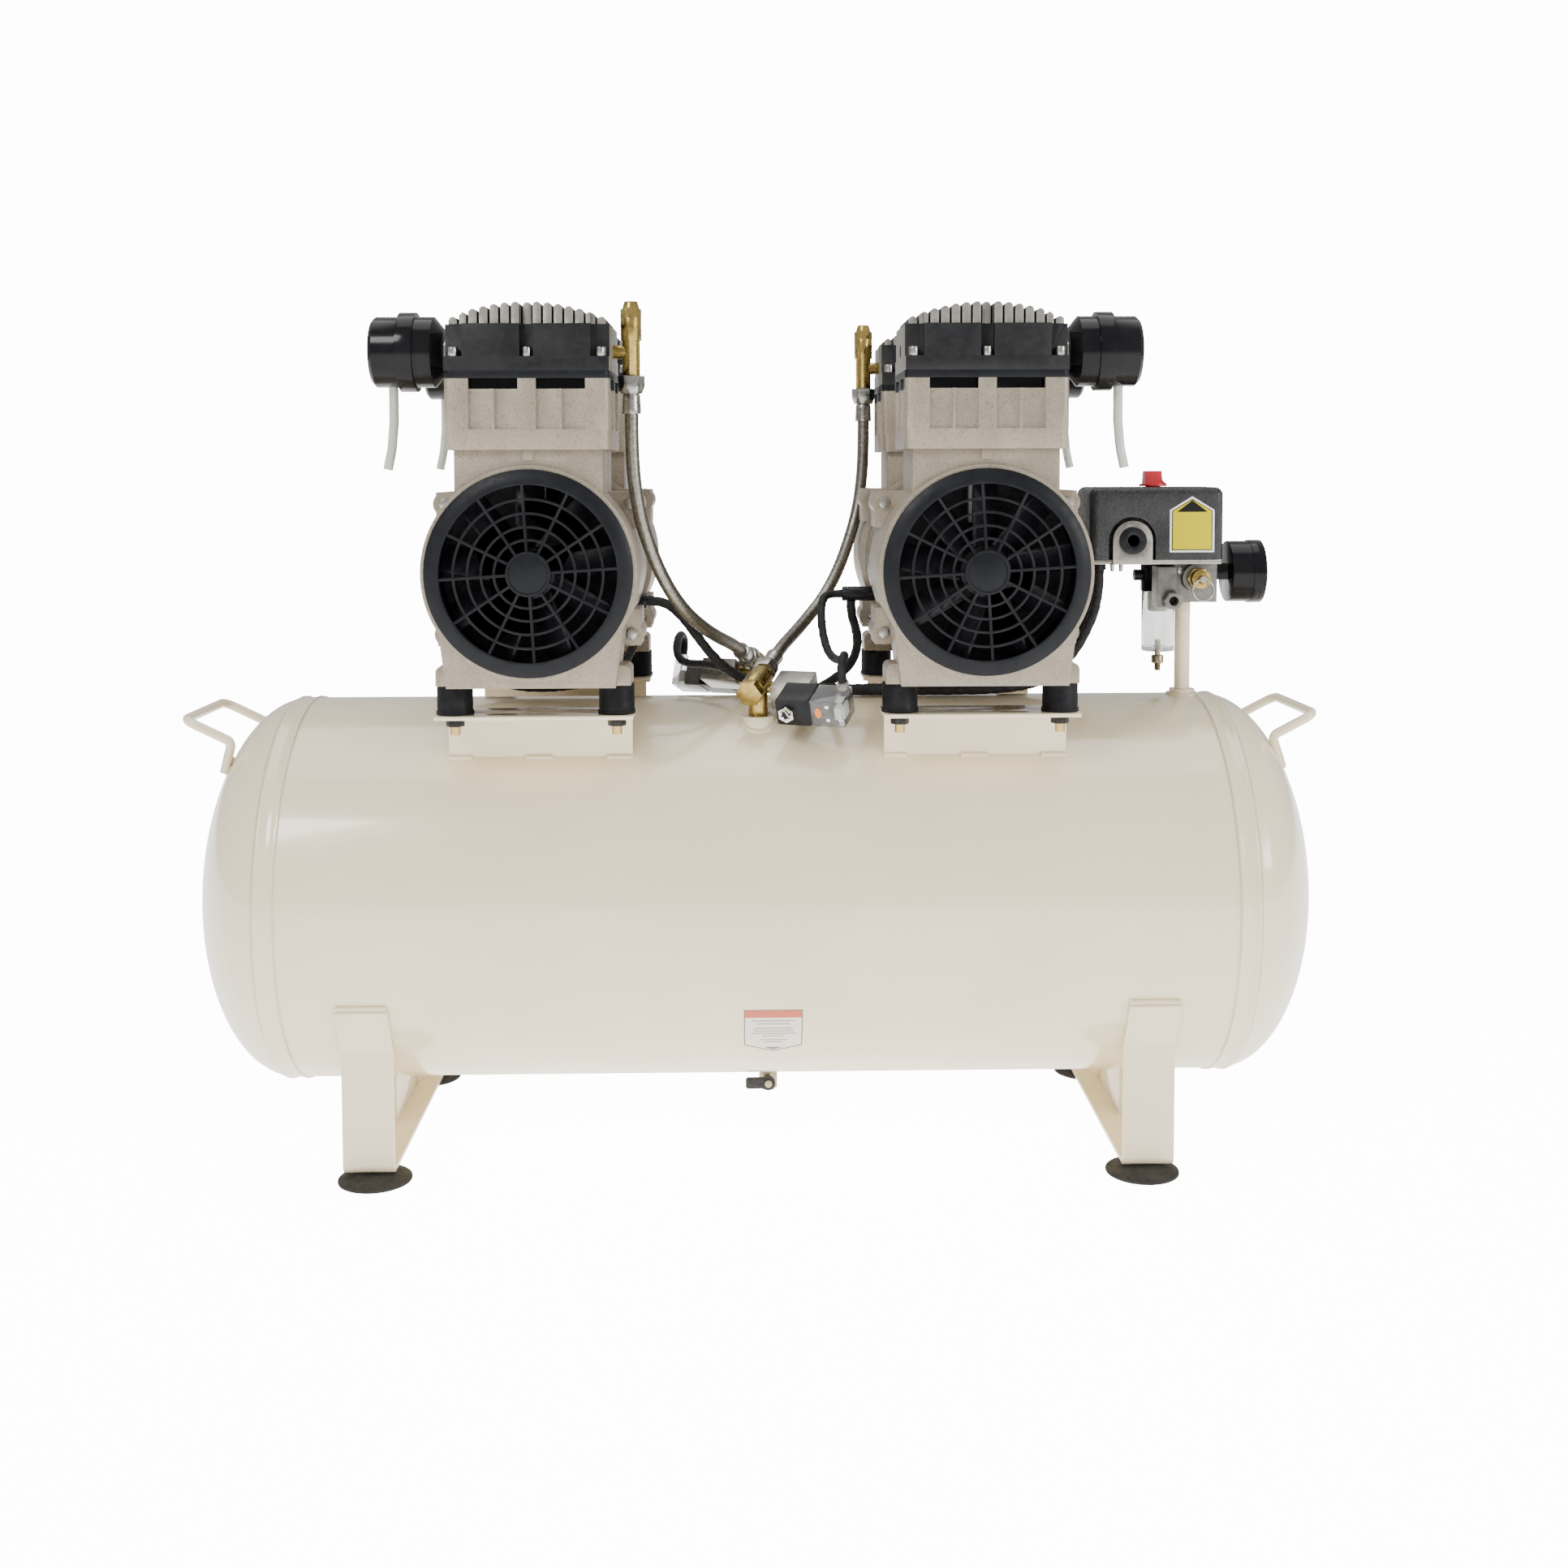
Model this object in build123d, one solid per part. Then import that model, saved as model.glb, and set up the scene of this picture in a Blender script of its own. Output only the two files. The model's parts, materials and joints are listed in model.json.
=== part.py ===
"""Horizontal-tank air compressor with two identical twin-cylinder oil-free pumps.

Frame: +X along the tank axis, -Y is the front, +Z up, origin on the floor under the tank's middle.
Units are millimetres. The machine is the same after half a turn about Z, apart from its right-end fittings.
"""
import os
from math import pi, radians, sqrt, tan

from build123d import *

# ---- tank and its frame ----
TANK_R = 163.0
TANK_WALL = 3.0
TANK_Z = 216.0
SHELL_HALF = 388.0
HEAD_SKIRT = 6.0
HEAD_DEPTH = 79.0
BAND_IN, BAND_OUT, BAND_R = 384.0, 399.0, 164.0
HANDLE_BAR_R = 4.0
HANDLE_Y = 58.0
HANDLE_ZS = (324.0, 350.0, 369.0)
HANDLE_XS = {"left": (-448.5, -442.0, -481.0), "right": (445.0, 436.5, 472.5)}
LEG_X, LEG_W, LEG_T = 318.0, 42.0, 4.0
LEG_Y, PAD_H = 128.0, 6.0
PAD_X, PAD_Y, PAD_R = 314.0, 124.0, 30.0

# ---- pumps ----
PUMP_X = 178.0
PLATE_Z = 383.0
PLATE_T = 3.0
BRACKET_HALF, WEB_HALF, WEB_Y, LIP_Y = 78.5, 75.0, 102.0, 152.0
MOUNT_X, MOUNT_Y, MOUNT_R, MOUNT_H = 64.5, 132.0, 15.0, 24.0
STUD_R = 4.0
FOOT_Z = PLATE_Z + MOUNT_H
FOOT_H = 16.0
AXIS_Z = 497.0
BELL_R, BELL_IN_R, BELL_FRONT, BELL_BACK = 84.0, 78.5, 172.0, 56.0
CYL_Y, BORE_R = 122.0, 32.0
BLOCK_HALF_X, BLOCK_HALF_Y = 64.0, 50.0
BAND_Z0, BLOCK_Z0, BLOCK_Z1 = 593.0, 608.0, 648.0
VALVE_PLATE_T = 6.0
HEAD_Z0 = BLOCK_Z1 + VALVE_PLATE_T
HEAD_Z1, FIN_TOP = 690.0, 707.0
FIN_COUNT, FIN_W, FIN_PITCH = 15, 6.6, 8.2
SCREW_XS, SCREW_Y, SCREW_Z = (-57.0, 0.0, 57.0), 45.5, 665.0
PORT_Z = 671.0
GRILLE_R, GRILLE_OPEN_R, GRILLE_HUB_R = 81.0, 69.0, 16.5
GRILLE_RINGS = (26.5, 36.5, 47.0, 58.0)
GRILLE_TURN = 3.5
STATOR_R, ROTOR_R, CORE_HALF = 80.0, 40.0, 50.0
SHAFT_R, SHAFT_HALF, BEARING_R, RUN_GAP = 6.0, 168.0, 13.0, 0.05
BEARING_Y0, BEARING_Y1 = 92.0, 100.0
CRANK_R, CRANK_THROW = 16.5, 9.0
FAN_R, FAN_Y0, FAN_Y1, FAN_BLADES = 71.0, 150.0, 166.0, 9
FILTER_R, FILTER_CLIP_R = 28.0, 31.5
TEE_X = 77.5

# ---- valves on the tank's crown ----
VALVE_Y, VALVE_Z, VALVE_YAW, VALVE_TILT = -64.0, 400.0, -21.0, 22.0
BARREL_R, FERRULE_END = 10.5, 46.0

# ---- right-end group ----
RISER_X, RISER_R, RISER_TOP = 373.0, 6.7, 461.0
COVER_X0, COVER_X1, COVER_Z0, COVER_Z1, COVER_HALF_Y = 285.0, 400.0, 499.0, 561.0, 35.0
GLAND_X, GLAND_Z = 321.0, 515.5
KNOB_X = 346.0
FILTER_BOWL = (359.0, 33.0)
SAFETY_X, SAFETY_Z = 379.0, 482.5
OUTLET_X, OUTLET_Z = 357.0, 463.5
GAUGE_Z, GAUGE_R, GAUGE_X0, GAUGE_X1 = 487.0, 26.5, 411.0, 440.0
DRAIN_X, DRAIN_Z, DRAIN_R = 8.0, 39.0, 8.0
LEVER_LENGTH, LEVER_HALF, LEVER_HUB_R, LEVER_Y = 20.0, 4.7, 6.1, (-16.5, -12.3)

# ---- hoses and leads ----
HOSE_D, LEAD_D = 11.0, 8.5
LEAD_Y, LEAD_Z, BOOT_R = 38.0, 466.0, 6.5
PLUG_GLAND, PLUG_TOP = (80.0, -14.0), 10.0
START_LEAD_X, START_LEAD_Y = -257.0, 20.0
GROMMET_X, GROMMET_Z = 298.0, 489.0

os.makedirs("parts", exist_ok=True)
NODES = {}


def block(x0, x1, y0, y1, z0, z1):
    """Box between two corners."""
    return Pos((x0 + x1) / 2, (y0 + y1) / 2, (z0 + z1) / 2) * Box(x1 - x0, y1 - y0, z1 - z0)


def rod_x(x0, x1, y, z, r):
    return Pos((x0 + x1) / 2, y, z) * Rot(0, 90, 0) * Cylinder(r, abs(x1 - x0))


def rod_y(y0, y1, x, z, r):
    return Pos(x, (y0 + y1) / 2, z) * Rot(90, 0, 0) * Cylinder(r, abs(y1 - y0))


def rod_z(z0, z1, x, y, r):
    return Pos(x, y, (z0 + z1) / 2) * Cylinder(r, abs(z1 - z0))


def hexagon(across_flats, height):
    """Upright hexagonal prism with its base on the XY plane."""
    return extrude(RegularPolygon(across_flats / 2, 6, major_radius=False), height)


def union(shapes):
    """One fused solid from a list of overlapping shapes."""
    first, *rest = shapes
    for item in rest:
        first = first + item
    return first


def half_turn(shape):
    """The same piece on the other side of the machine's upright axis."""
    return Rot(0, 0, 180) * shape


def front_and_back(shape):
    """A piece and its half-turned copy, in one pump's own frame."""
    return [shape, half_turn(shape)]


def on_pumps(shapes):
    """Place pieces of one pump on both pumps."""
    left = [Pos(-PUMP_X, 0, 0) * s for s in shapes]
    return left + [half_turn(s) for s in left]


def node(name, shapes):
    """Write one named sub-part."""
    pieces = shapes if isinstance(shapes, list) else [shapes]
    solids = [s for piece in pieces for s in piece.solids()]
    NODES[name] = solids[0] if len(solids) == 1 else Compound(children=solids)
    export_step(NODES[name], f"parts/{name}.step")


def tank_surface_z(y):
    return TANK_Z + sqrt(TANK_R**2 - y**2)


# ---------------------------------------------------------------- tank
def dome(skirt_start, inset):
    """Solid of a dished head: a skirt along X, then half an ellipsoid, all set in by one wall thickness."""
    x1 = SHELL_HALF + HEAD_SKIRT
    arc = EllipticalCenterArc((x1, 0), HEAD_DEPTH - inset, TANK_R - inset, start_angle=0, arc_size=90)
    top, pole = TANK_R - inset, x1 + HEAD_DEPTH - inset
    edges = [arc, Line((x1, top), (skirt_start, top)), Line((skirt_start, top), (skirt_start, 0)),
             Line((skirt_start, 0), (pole, 0))]
    return Pos(0, 0, TANK_Z) * revolve(make_face(edges), Axis.X)


def tank_body_solid():
    """The tank's outer form as one solid, used to trim what is welded to it."""
    cap = dome(SHELL_HALF, 0)
    return union([rod_x(-SHELL_HALF - 1, SHELL_HALF + 1, 0, TANK_Z, TANK_R), cap, half_turn(cap)])


def build_tank():
    shell = (rod_x(-SHELL_HALF, SHELL_HALF, 0, TANK_Z, TANK_R)
             - rod_x(-SHELL_HALF - 1, SHELL_HALF + 1, 0, TANK_Z, TANK_R - TANK_WALL))
    node("tank_shell", shell)
    head = dome(SHELL_HALF, 0) - dome(SHELL_HALF - 1, TANK_WALL)
    band = rod_x(BAND_IN, BAND_OUT, 0, TANK_Z, BAND_R) - rod_x(BAND_IN - 1, SHELL_HALF, 0, TANK_Z, TANK_R)
    band -= dome(SHELL_HALF, 0)
    node("tank_heads", front_and_back(head) + front_and_back(band))


def build_handles(tank):
    """Two bent bars, each with both ends laid along its head and welded there."""
    bars = []
    for xs in HANDLE_XS.values():
        route = [(x, -HANDLE_Y, z) for x, z in zip(xs, HANDLE_ZS)]
        route += [(x, -y, z) for x, y, z in reversed(route)]
        wire = FilletPolyline(*route, radius=[6, 10, 10, 6])
        bar = sweep(Plane(wire @ 0, z_dir=wire % 0) * Circle(HANDLE_BAR_R), path=wire)
        bars.append(max((bar - tank).solids(), key=lambda s: s.volume))
    node("carry_handles", bars)


def build_legs(tank):
    """Two straps bent round under the tank, each with an upright web plate, on round rubber pads."""
    z0 = PAD_H + LEG_T / 2
    spine = FilletPolyline((-151, 147), (-LEG_Y, 108), (-LEG_Y, z0), (LEG_Y, z0), (LEG_Y, 108), (151, 147),
                           radius=[14, 5, 5, 14])
    strap = extrude(Plane.YZ * trace(spine, line_width=LEG_T), LEG_W / 2, both=True)
    for side, name in ((-1, "leg_left"), (1, "leg_right")):
        web = block(-2, 2, -22, 78, PAD_H + LEG_T, 80)
        leg = Pos(side * LEG_X, 0, 0) * (strap + web) - tank
        node(name, [max(leg.solids(), key=lambda s: s.volume)])
    profile = Polyline((0, 0), (PAD_R, 0), (PAD_R, 2.0), (13, PAD_H), (0, PAD_H), close=True)
    pad = revolve(Plane.XZ * make_face(profile), Axis.Z)
    node("foot_pads", [Pos(x, y, 0) * pad for x in (-PAD_X, PAD_X) for y in (-PAD_Y, PAD_Y)])


def build_brackets(tank):
    """Folded angles welded on the tank, their lips carrying the vibration mounts."""
    lip = block(-BRACKET_HALF, BRACKET_HALF, -LIP_Y, -WEB_Y + PLATE_T, PLATE_Z - PLATE_T, PLATE_Z)
    web = block(-WEB_HALF, WEB_HALF, -WEB_Y, -WEB_Y + PLATE_T, 330, PLATE_Z - PLATE_T)
    plate = lip + web
    for x in (-MOUNT_X, MOUNT_X):
        plate -= rod_z(PLATE_Z - 10, PLATE_Z + 10, x, -MOUNT_Y, STUD_R + 0.2)
    placed = [max((p - tank).solids(), key=lambda s: s.volume) for p in on_pumps(front_and_back(plate))]
    node("pump_brackets", placed)


def build_mounts():
    rubber, hardware = [], []
    for x in (-MOUNT_X, MOUNT_X):
        for y in (-MOUNT_Y, MOUNT_Y):
            low = Cylinder(MOUNT_R, 3, align=(Align.CENTER, Align.CENTER, Align.MIN))
            body = low + rod_z(3, MOUNT_H, 0, 0, MOUNT_R - 0.8)
            body -= rod_z(-1, 8, 0, 0, STUD_R)
            body -= rod_z(MOUNT_H - 8, MOUNT_H + 1, 0, 0, STUD_R)
            rubber.append(Pos(x, y, PLATE_Z) * body)
            hardware.append(rod_z(PLATE_Z - 17, PLATE_Z + 8, x, y, STUD_R))
            hardware.append(rod_z(FOOT_Z - 8, FOOT_Z + 10, x, y, STUD_R))
            nut = hexagon(13, 7) - Cylinder(STUD_R, 30)
            hardware.append(Pos(x, y, PLATE_Z - PLATE_T - 7) * nut)
    node("vibration_mounts", on_pumps(rubber))
    node("mount_hardware", on_pumps(hardware))


# ---------------------------------------------------------------- one pump, in its own upright frame
def bell():
    """Front end bell: round fan housing, crank chamber, neck up to the cylinder and feet."""
    ring = rod_y(-BELL_FRONT, -BELL_BACK, 0, AXIS_Z, BELL_R)
    neck = block(-57.5, 57.5, -166, -78, AXIS_Z, BAND_Z0)
    skirt = extrude(Plane.XZ.offset(166) * make_face(Polyline(
        (-66, FOOT_Z), (66, FOOT_Z), (72, AXIS_Z - 42), (80, AXIS_Z - 10), (-80, AXIS_Z - 10),
        (-72, AXIS_Z - 42), close=True)), -56)
    foot = block(-77, 77, -150, -114, FOOT_Z, FOOT_Z + FOOT_H)
    foot = fillet(foot.edges().filter_by(Axis.Y).group_by(Axis.Z)[-1], 5)
    lugs = [rod_y(-104, -BELL_BACK, x, AXIS_Z + z, 10) for x in (-75, 75) for z in (-53, 53)]
    for x in (-75, 75):
        for z in (-53, 53):
            high, low = AXIS_Z + z * 1.18, AXIS_Z + z * 0.62
            lugs.append(block(*sorted((x * 0.7, x * 1.1)), -104, -BELL_BACK, *sorted((high, low))))
    cast = union([ring, neck, skirt, foot] + lugs)
    cast -= rod_y(-BELL_FRONT - 1, -BEARING_Y1, 0, AXIS_Z, BELL_IN_R)
    cast -= rod_y(-BEARING_Y0, -BELL_BACK + 1, 0, AXIS_Z, 76)
    cast -= rod_y(-BEARING_Y1 - 1, -BEARING_Y0 + 1, 0, AXIS_Z, BEARING_R)
    cast -= block(-48, 48, -158, -88 - 16, AXIS_Z, BAND_Z0 + 1)
    for x in (-MOUNT_X, MOUNT_X):
        cast -= rod_z(FOOT_Z - 1, FOOT_Z + 10, x, -MOUNT_Y, STUD_R)
    for x in (-75, 75):
        for z in (-53, 53):
            cast -= rod_y(-105, -BELL_BACK + 1, x, AXIS_Z + z, 2.5)
    tip = block(-4, 4, -168, -160, 585, BAND_Z0)
    return cast + tip


def cylinder_block():
    """Ribbed block with its bore, a plain lower band and two windows under the head on each long side."""
    y0, y1 = -CYL_Y - BLOCK_HALF_Y, -CYL_Y + BLOCK_HALF_Y
    w = BLOCK_HALF_X
    body = fillet(block(-w, w, y0, y1, BAND_Z0, BLOCK_Z0).edges().filter_by(Axis.Z), 7)
    upper = fillet(block(-w, w, y0, y1, BLOCK_Z0, BLOCK_Z1).edges().filter_by(Axis.Z), 5)
    body = body + upper
    for x0, x1 in ((-45, -7), (7, 45)):
        for ya, yb in ((y0 - 1, y0 + 3), (y1 - 3, y1 + 1)):
            body -= block(x0, x1, ya, yb, BLOCK_Z0 + 1, BLOCK_Z1 + 1)
            deep = (ya, y0 + 18) if ya < -CYL_Y else (y1 - 18, yb)
            body -= block(x0, x1, *deep, BLOCK_Z1 - 8, BLOCK_Z1 + 1)
    for xa, xb in ((-w - 1, -w + 3), (w - 3, w + 1)):
        body -= block(xa, xb, y0 + 14, -CYL_Y - 8, BLOCK_Z0 + 1, BLOCK_Z1 + 1)
        body -= block(xa, xb, -CYL_Y + 8, y1 - 14, BLOCK_Z0 + 1, BLOCK_Z1 + 1)
    for x in (-26, 26):
        for ya, yb in ((y0, y0 + 3.5), (y1 - 3.5, y1)):
            body += block(x - 1.2, x + 1.2, ya, yb, BLOCK_Z0, BLOCK_Z1 - 8)
    return body - rod_z(BAND_Z0 - 1, BLOCK_Z1 + 1, 0, -CYL_Y, BORE_R)


def valve_plate():
    plate = block(-BLOCK_HALF_X, BLOCK_HALF_X, -CYL_Y - BLOCK_HALF_Y, -CYL_Y + BLOCK_HALF_Y, BLOCK_Z1, HEAD_Z0)
    plate = fillet(plate.edges().filter_by(Axis.Z), 5)
    for x in (-16, 16):
        plate -= rod_z(BLOCK_Z1 - 1, HEAD_Z0 + 1, x, -CYL_Y, 5)
    return plate


def cylinder_head():
    """Finned head: a slab with notches for six cap screws, under a low arch of round-topped fins."""
    y0, y1 = -CYL_Y - BLOCK_HALF_Y, -CYL_Y + BLOCK_HALF_Y
    slab = block(-BLOCK_HALF_X + 0.5, BLOCK_HALF_X - 0.5, y0, y1, HEAD_Z0, HEAD_Z1)
    arch_r = 210.0
    fins = []
    for i in range(FIN_COUNT):
        x = (i - (FIN_COUNT - 1) / 2) * FIN_PITCH
        top = FIN_TOP - (arch_r - sqrt(arch_r**2 - x**2)) * 1.4 - FIN_W / 2
        fins.append(block(x - FIN_W / 2, x + FIN_W / 2, y0 + 2, y1 - 2, HEAD_Z1 - 1, top))
        fins.append(rod_y(y0 + 2, y1 - 2, x, top, FIN_W / 2))
    head = union([slab] + fins)
    for x in SCREW_XS:
        width = 5.2 if x == 0 else 7.6
        for y in (y0, y1):
            inward = 1 if y == y0 else -1
            notch = sorted((y - 3 * inward, y + 9 * inward))
            head -= block(x - width, x + width, *notch, SCREW_Z, FIN_TOP + 5)
    for x in SCREW_XS:
        for y in (-CYL_Y - SCREW_Y, -CYL_Y + SCREW_Y):
            head -= rod_z(HEAD_Z0 - 1, SCREW_Z + 1, x, y, 2.6)
    head -= rod_x(-80, -40, -CYL_Y, PORT_Z, 7)
    head -= rod_x(40, 80, -CYL_Y, PORT_Z, 5.5)
    head -= block(-44, 44, y0 + 14, -CYL_Y - 3, HEAD_Z0 - 1, HEAD_Z0 + 22)
    head -= block(-44, 44, -CYL_Y + 3, y1 - 14, HEAD_Z0 - 1, HEAD_Z0 + 22)
    return head


def head_screws():
    screws = []
    for x in SCREW_XS:
        for y in (-CYL_Y - SCREW_Y, -CYL_Y + SCREW_Y):
            cap = rod_z(SCREW_Z, SCREW_Z + 7, x, y, 4) - Pos(x, y, SCREW_Z + 4) * hexagon(4, 5)
            screws.append(cap + rod_z(HEAD_Z0 + 0.5, SCREW_Z, x, y, 2.5))
    for x in (-75, 75):
        for z in (-53, 53):
            head = rod_y(-107, -104, x, AXIS_Z + z, 4.5)
            screws.append(head + rod_y(-104, -60, x, AXIS_Z + z, 2.4))
    return screws


def grille():
    """Moulded fan guard: sloped rim, hub disc, twelve spokes and four rings."""
    rim = revolve(Plane.XZ * make_face(Polyline(
        (GRILLE_OPEN_R, 0), (GRILLE_R, 0), (GRILLE_R, 2.5), (GRILLE_OPEN_R + 3, 6), (GRILLE_OPEN_R, 6),
        close=True)), Axis.Z)
    parts = [rim, Pos(0, 0, 1) * Cylinder(GRILLE_HUB_R, 4, align=(Align.CENTER, Align.CENTER, Align.MIN))]
    for r in GRILLE_RINGS:
        web = Cylinder(r + 1, 2.6, align=(Align.CENTER, Align.CENTER, Align.MIN))
        web -= Cylinder(r - 1, 9, align=(Align.CENTER, Align.CENTER, Align.CENTER))
        parts.append(Pos(0, 0, 1) * web)
    for i in range(12):
        spoke = block(GRILLE_HUB_R - 2, GRILLE_OPEN_R + 1.5, -1.1, 1.1, 1, 4.2)
        parts.append(Rot(0, 0, 30 * i + GRILLE_TURN) * spoke)
    return Pos(0, -BELL_FRONT, AXIS_Z) * Rot(90, 0, 0) * union(parts)


def fan():
    hub = rod_y(-FAN_Y1, -FAN_Y0, 0, 0, 20)
    blades = []
    for i in range(FAN_BLADES):
        blade = Pos(0, -(FAN_Y0 + FAN_Y1) / 2, 44) * Rot(0, 0, 38) * Box(26, 2.4, 50)
        blades.append(Rot(0, 360 / FAN_BLADES * i, 0) * blade)
    wheel = union([hub] + blades) & rod_y(-FAN_Y1, -FAN_Y0, 0, 0, FAN_R)
    wheel -= rod_y(-FAN_Y1 - 1, -FAN_Y0 + 1, 0, 0, SHAFT_R)
    return Pos(0, 0, AXIS_Z) * wheel


def rotor():
    """Shaft with its laminated core and the two cranks, half a turn apart."""
    parts = [rod_y(-SHAFT_HALF, SHAFT_HALF, 0, AXIS_Z, SHAFT_R)]
    parts.append(rod_y(-CORE_HALF, CORE_HALF, 0, AXIS_Z, ROTOR_R))
    for side in (-1, 1):
        parts.append(rod_y(side * 114, side * 130, 0, AXIS_Z - side * CRANK_THROW, CRANK_R))
    return union(parts)


def stator():
    """Laminated ring with its end windings, between the bells."""
    ring = rod_y(-BELL_BACK, BELL_BACK, 0, AXIS_Z, STATOR_R)
    coils = rod_y(-76, 76, 0, AXIS_Z, 66)
    body = ring + coils
    return body - rod_y(-80, 80, 0, AXIS_Z, ROTOR_R + 1.5)


def bearings():
    ring = rod_y(-BEARING_Y1, -BEARING_Y0, 0, AXIS_Z, BEARING_R)
    ring -= rod_y(-BEARING_Y1 - 1, -BEARING_Y0 + 1, 0, AXIS_Z, SHAFT_R + RUN_GAP)
    return front_and_back(ring)


def piston():
    """Wobble piston with its rod; the rod ends above the crank's sweep at this open pivot."""
    crown_top = BLOCK_Z1 - CRANK_THROW - 2
    crown = rod_z(crown_top - 10, crown_top, 0, -CYL_Y, BORE_R - 0.5)
    crown += rod_z(crown_top - 18, crown_top - 10, 0, -CYL_Y, 12)
    low = AXIS_Z + CRANK_R + 2 * CRANK_THROW + 3
    return crown + block(-9, 9, -CYL_Y - 5, -CYL_Y + 5, low, crown_top - 12)


def intake_filters():
    """Silencer on a head's intake port: hexagon nipple, body, outer cap and clip band."""
    nip = Pos(-BLOCK_HALF_X + 0.5, -CYL_Y, PORT_Z) * Rot(0, -90, 0) * hexagon(18, 8)
    shell = revolve(make_face(Polyline((-70, 0), (-70, 18), (-78, FILTER_R), (-124, FILTER_R),
                                       (-127, FILTER_R - 3), (-127, 0), close=True)), Axis.X)
    clip = revolve(make_face(Polyline((-92, FILTER_R - 2), (-92, FILTER_CLIP_R), (-105, FILTER_CLIP_R),
                                      (-105, FILTER_R - 2), close=True)), Axis.X)
    body = Pos(0, -CYL_Y, PORT_Z) * (shell + clip)
    body -= rod_z(PORT_Z - FILTER_R - 2, PORT_Z - FILTER_R + 3, -111.5, -CYL_Y, 3.8)
    return [body + nip]


def drain_tubes():
    z = PORT_Z - FILTER_R + 3
    route = [(-111.5, -CYL_Y, z), (-111.5, -CYL_Y, z - 30), (-113.5, -CYL_Y, z - 52), (-117, -CYL_Y, z - 68)]
    wire = FilletPolyline(*route, radius=[60, 60])
    tube = sweep(Plane(wire @ 0, z_dir=wire % 0) * (Circle(3.8) - Circle(2.9)), path=wire)
    return [tube]


def outlet_tee():
    """Brass tee beside the front head: branch into the head, plugged on top, hose thread below."""
    y = -CYL_Y
    body = rod_z(652, 680, TEE_X, y, 7) + rod_z(680, 698, TEE_X, y, 8.3)
    body += rod_x(BLOCK_HALF_X - 0.5, TEE_X, y, PORT_Z, 5.5)
    body += Pos(TEE_X, y, 698) * hexagon(14.5, 7)
    return body + Pos(TEE_X, y, 708) * Cone(7, 5.2, 6)


def hose_end(nut_af):
    """Swivel nut and crimped ferrule, from z=0 upwards to the hose's start."""
    nut = hexagon(nut_af, 14) & (Cone(13.5, 8.6, 14, align=(Align.CENTER, Align.CENTER, Align.MIN)))
    upwards = (Align.CENTER, Align.CENTER, Align.MIN)
    ferrule = rod_z(14, 15, 0, 0, 6.4) + Pos(0, 0, 15) * Cone(6.9, 7.6, 15, align=upwards)
    return nut, ferrule


def build_pumps():
    for side, turn in (("left", 0), ("right", 180)):
        def place(shapes, turn=turn):
            return [Rot(0, 0, turn) * Pos(-PUMP_X, 0, 0) * s for s in shapes]
        node(f"{side}_end_bells", place(front_and_back(bell())))
        node(f"{side}_rotor", place([rotor()]))
        node(f"{side}_fans", place(front_and_back(fan())))
        node(f"{side}_cylinder_heads", place([cylinder_head(), mirror(cylinder_head(), Plane.XZ)]))
        node(f"{side}_front_piston", place([piston() if turn == 0 else half_turn(piston())]))
        node(f"{side}_rear_piston", place([half_turn(piston()) if turn == 0 else piston()]))
    node("motor_stators", on_pumps([stator()]))
    node("cylinder_blocks", on_pumps(front_and_back(cylinder_block())))
    node("rotor_bearings", on_pumps(bearings()))
    node("fan_grilles", on_pumps(front_and_back(grille())))
    node("valve_plates", on_pumps(front_and_back(valve_plate())))
    node("pump_screws", on_pumps([s for screw in head_screws() for s in front_and_back(screw)]))
    node("filter_drain_tubes", on_pumps([t for tube in drain_tubes() for t in (tube, mirror(tube, Plane.XZ))]))
    node("outlet_tees", on_pumps([outlet_tee()]))
    node("intake_filters", on_pumps([f for one in intake_filters() for f in (one, mirror(one, Plane.XZ))]))


# ---------------------------------------------------------------- valves on the crown
VALVE_FRAME = Pos(0, VALVE_Y, VALVE_Z) * Rot(0, 0, VALVE_YAW) * Rot(VALVE_TILT, 0, 0)


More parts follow.
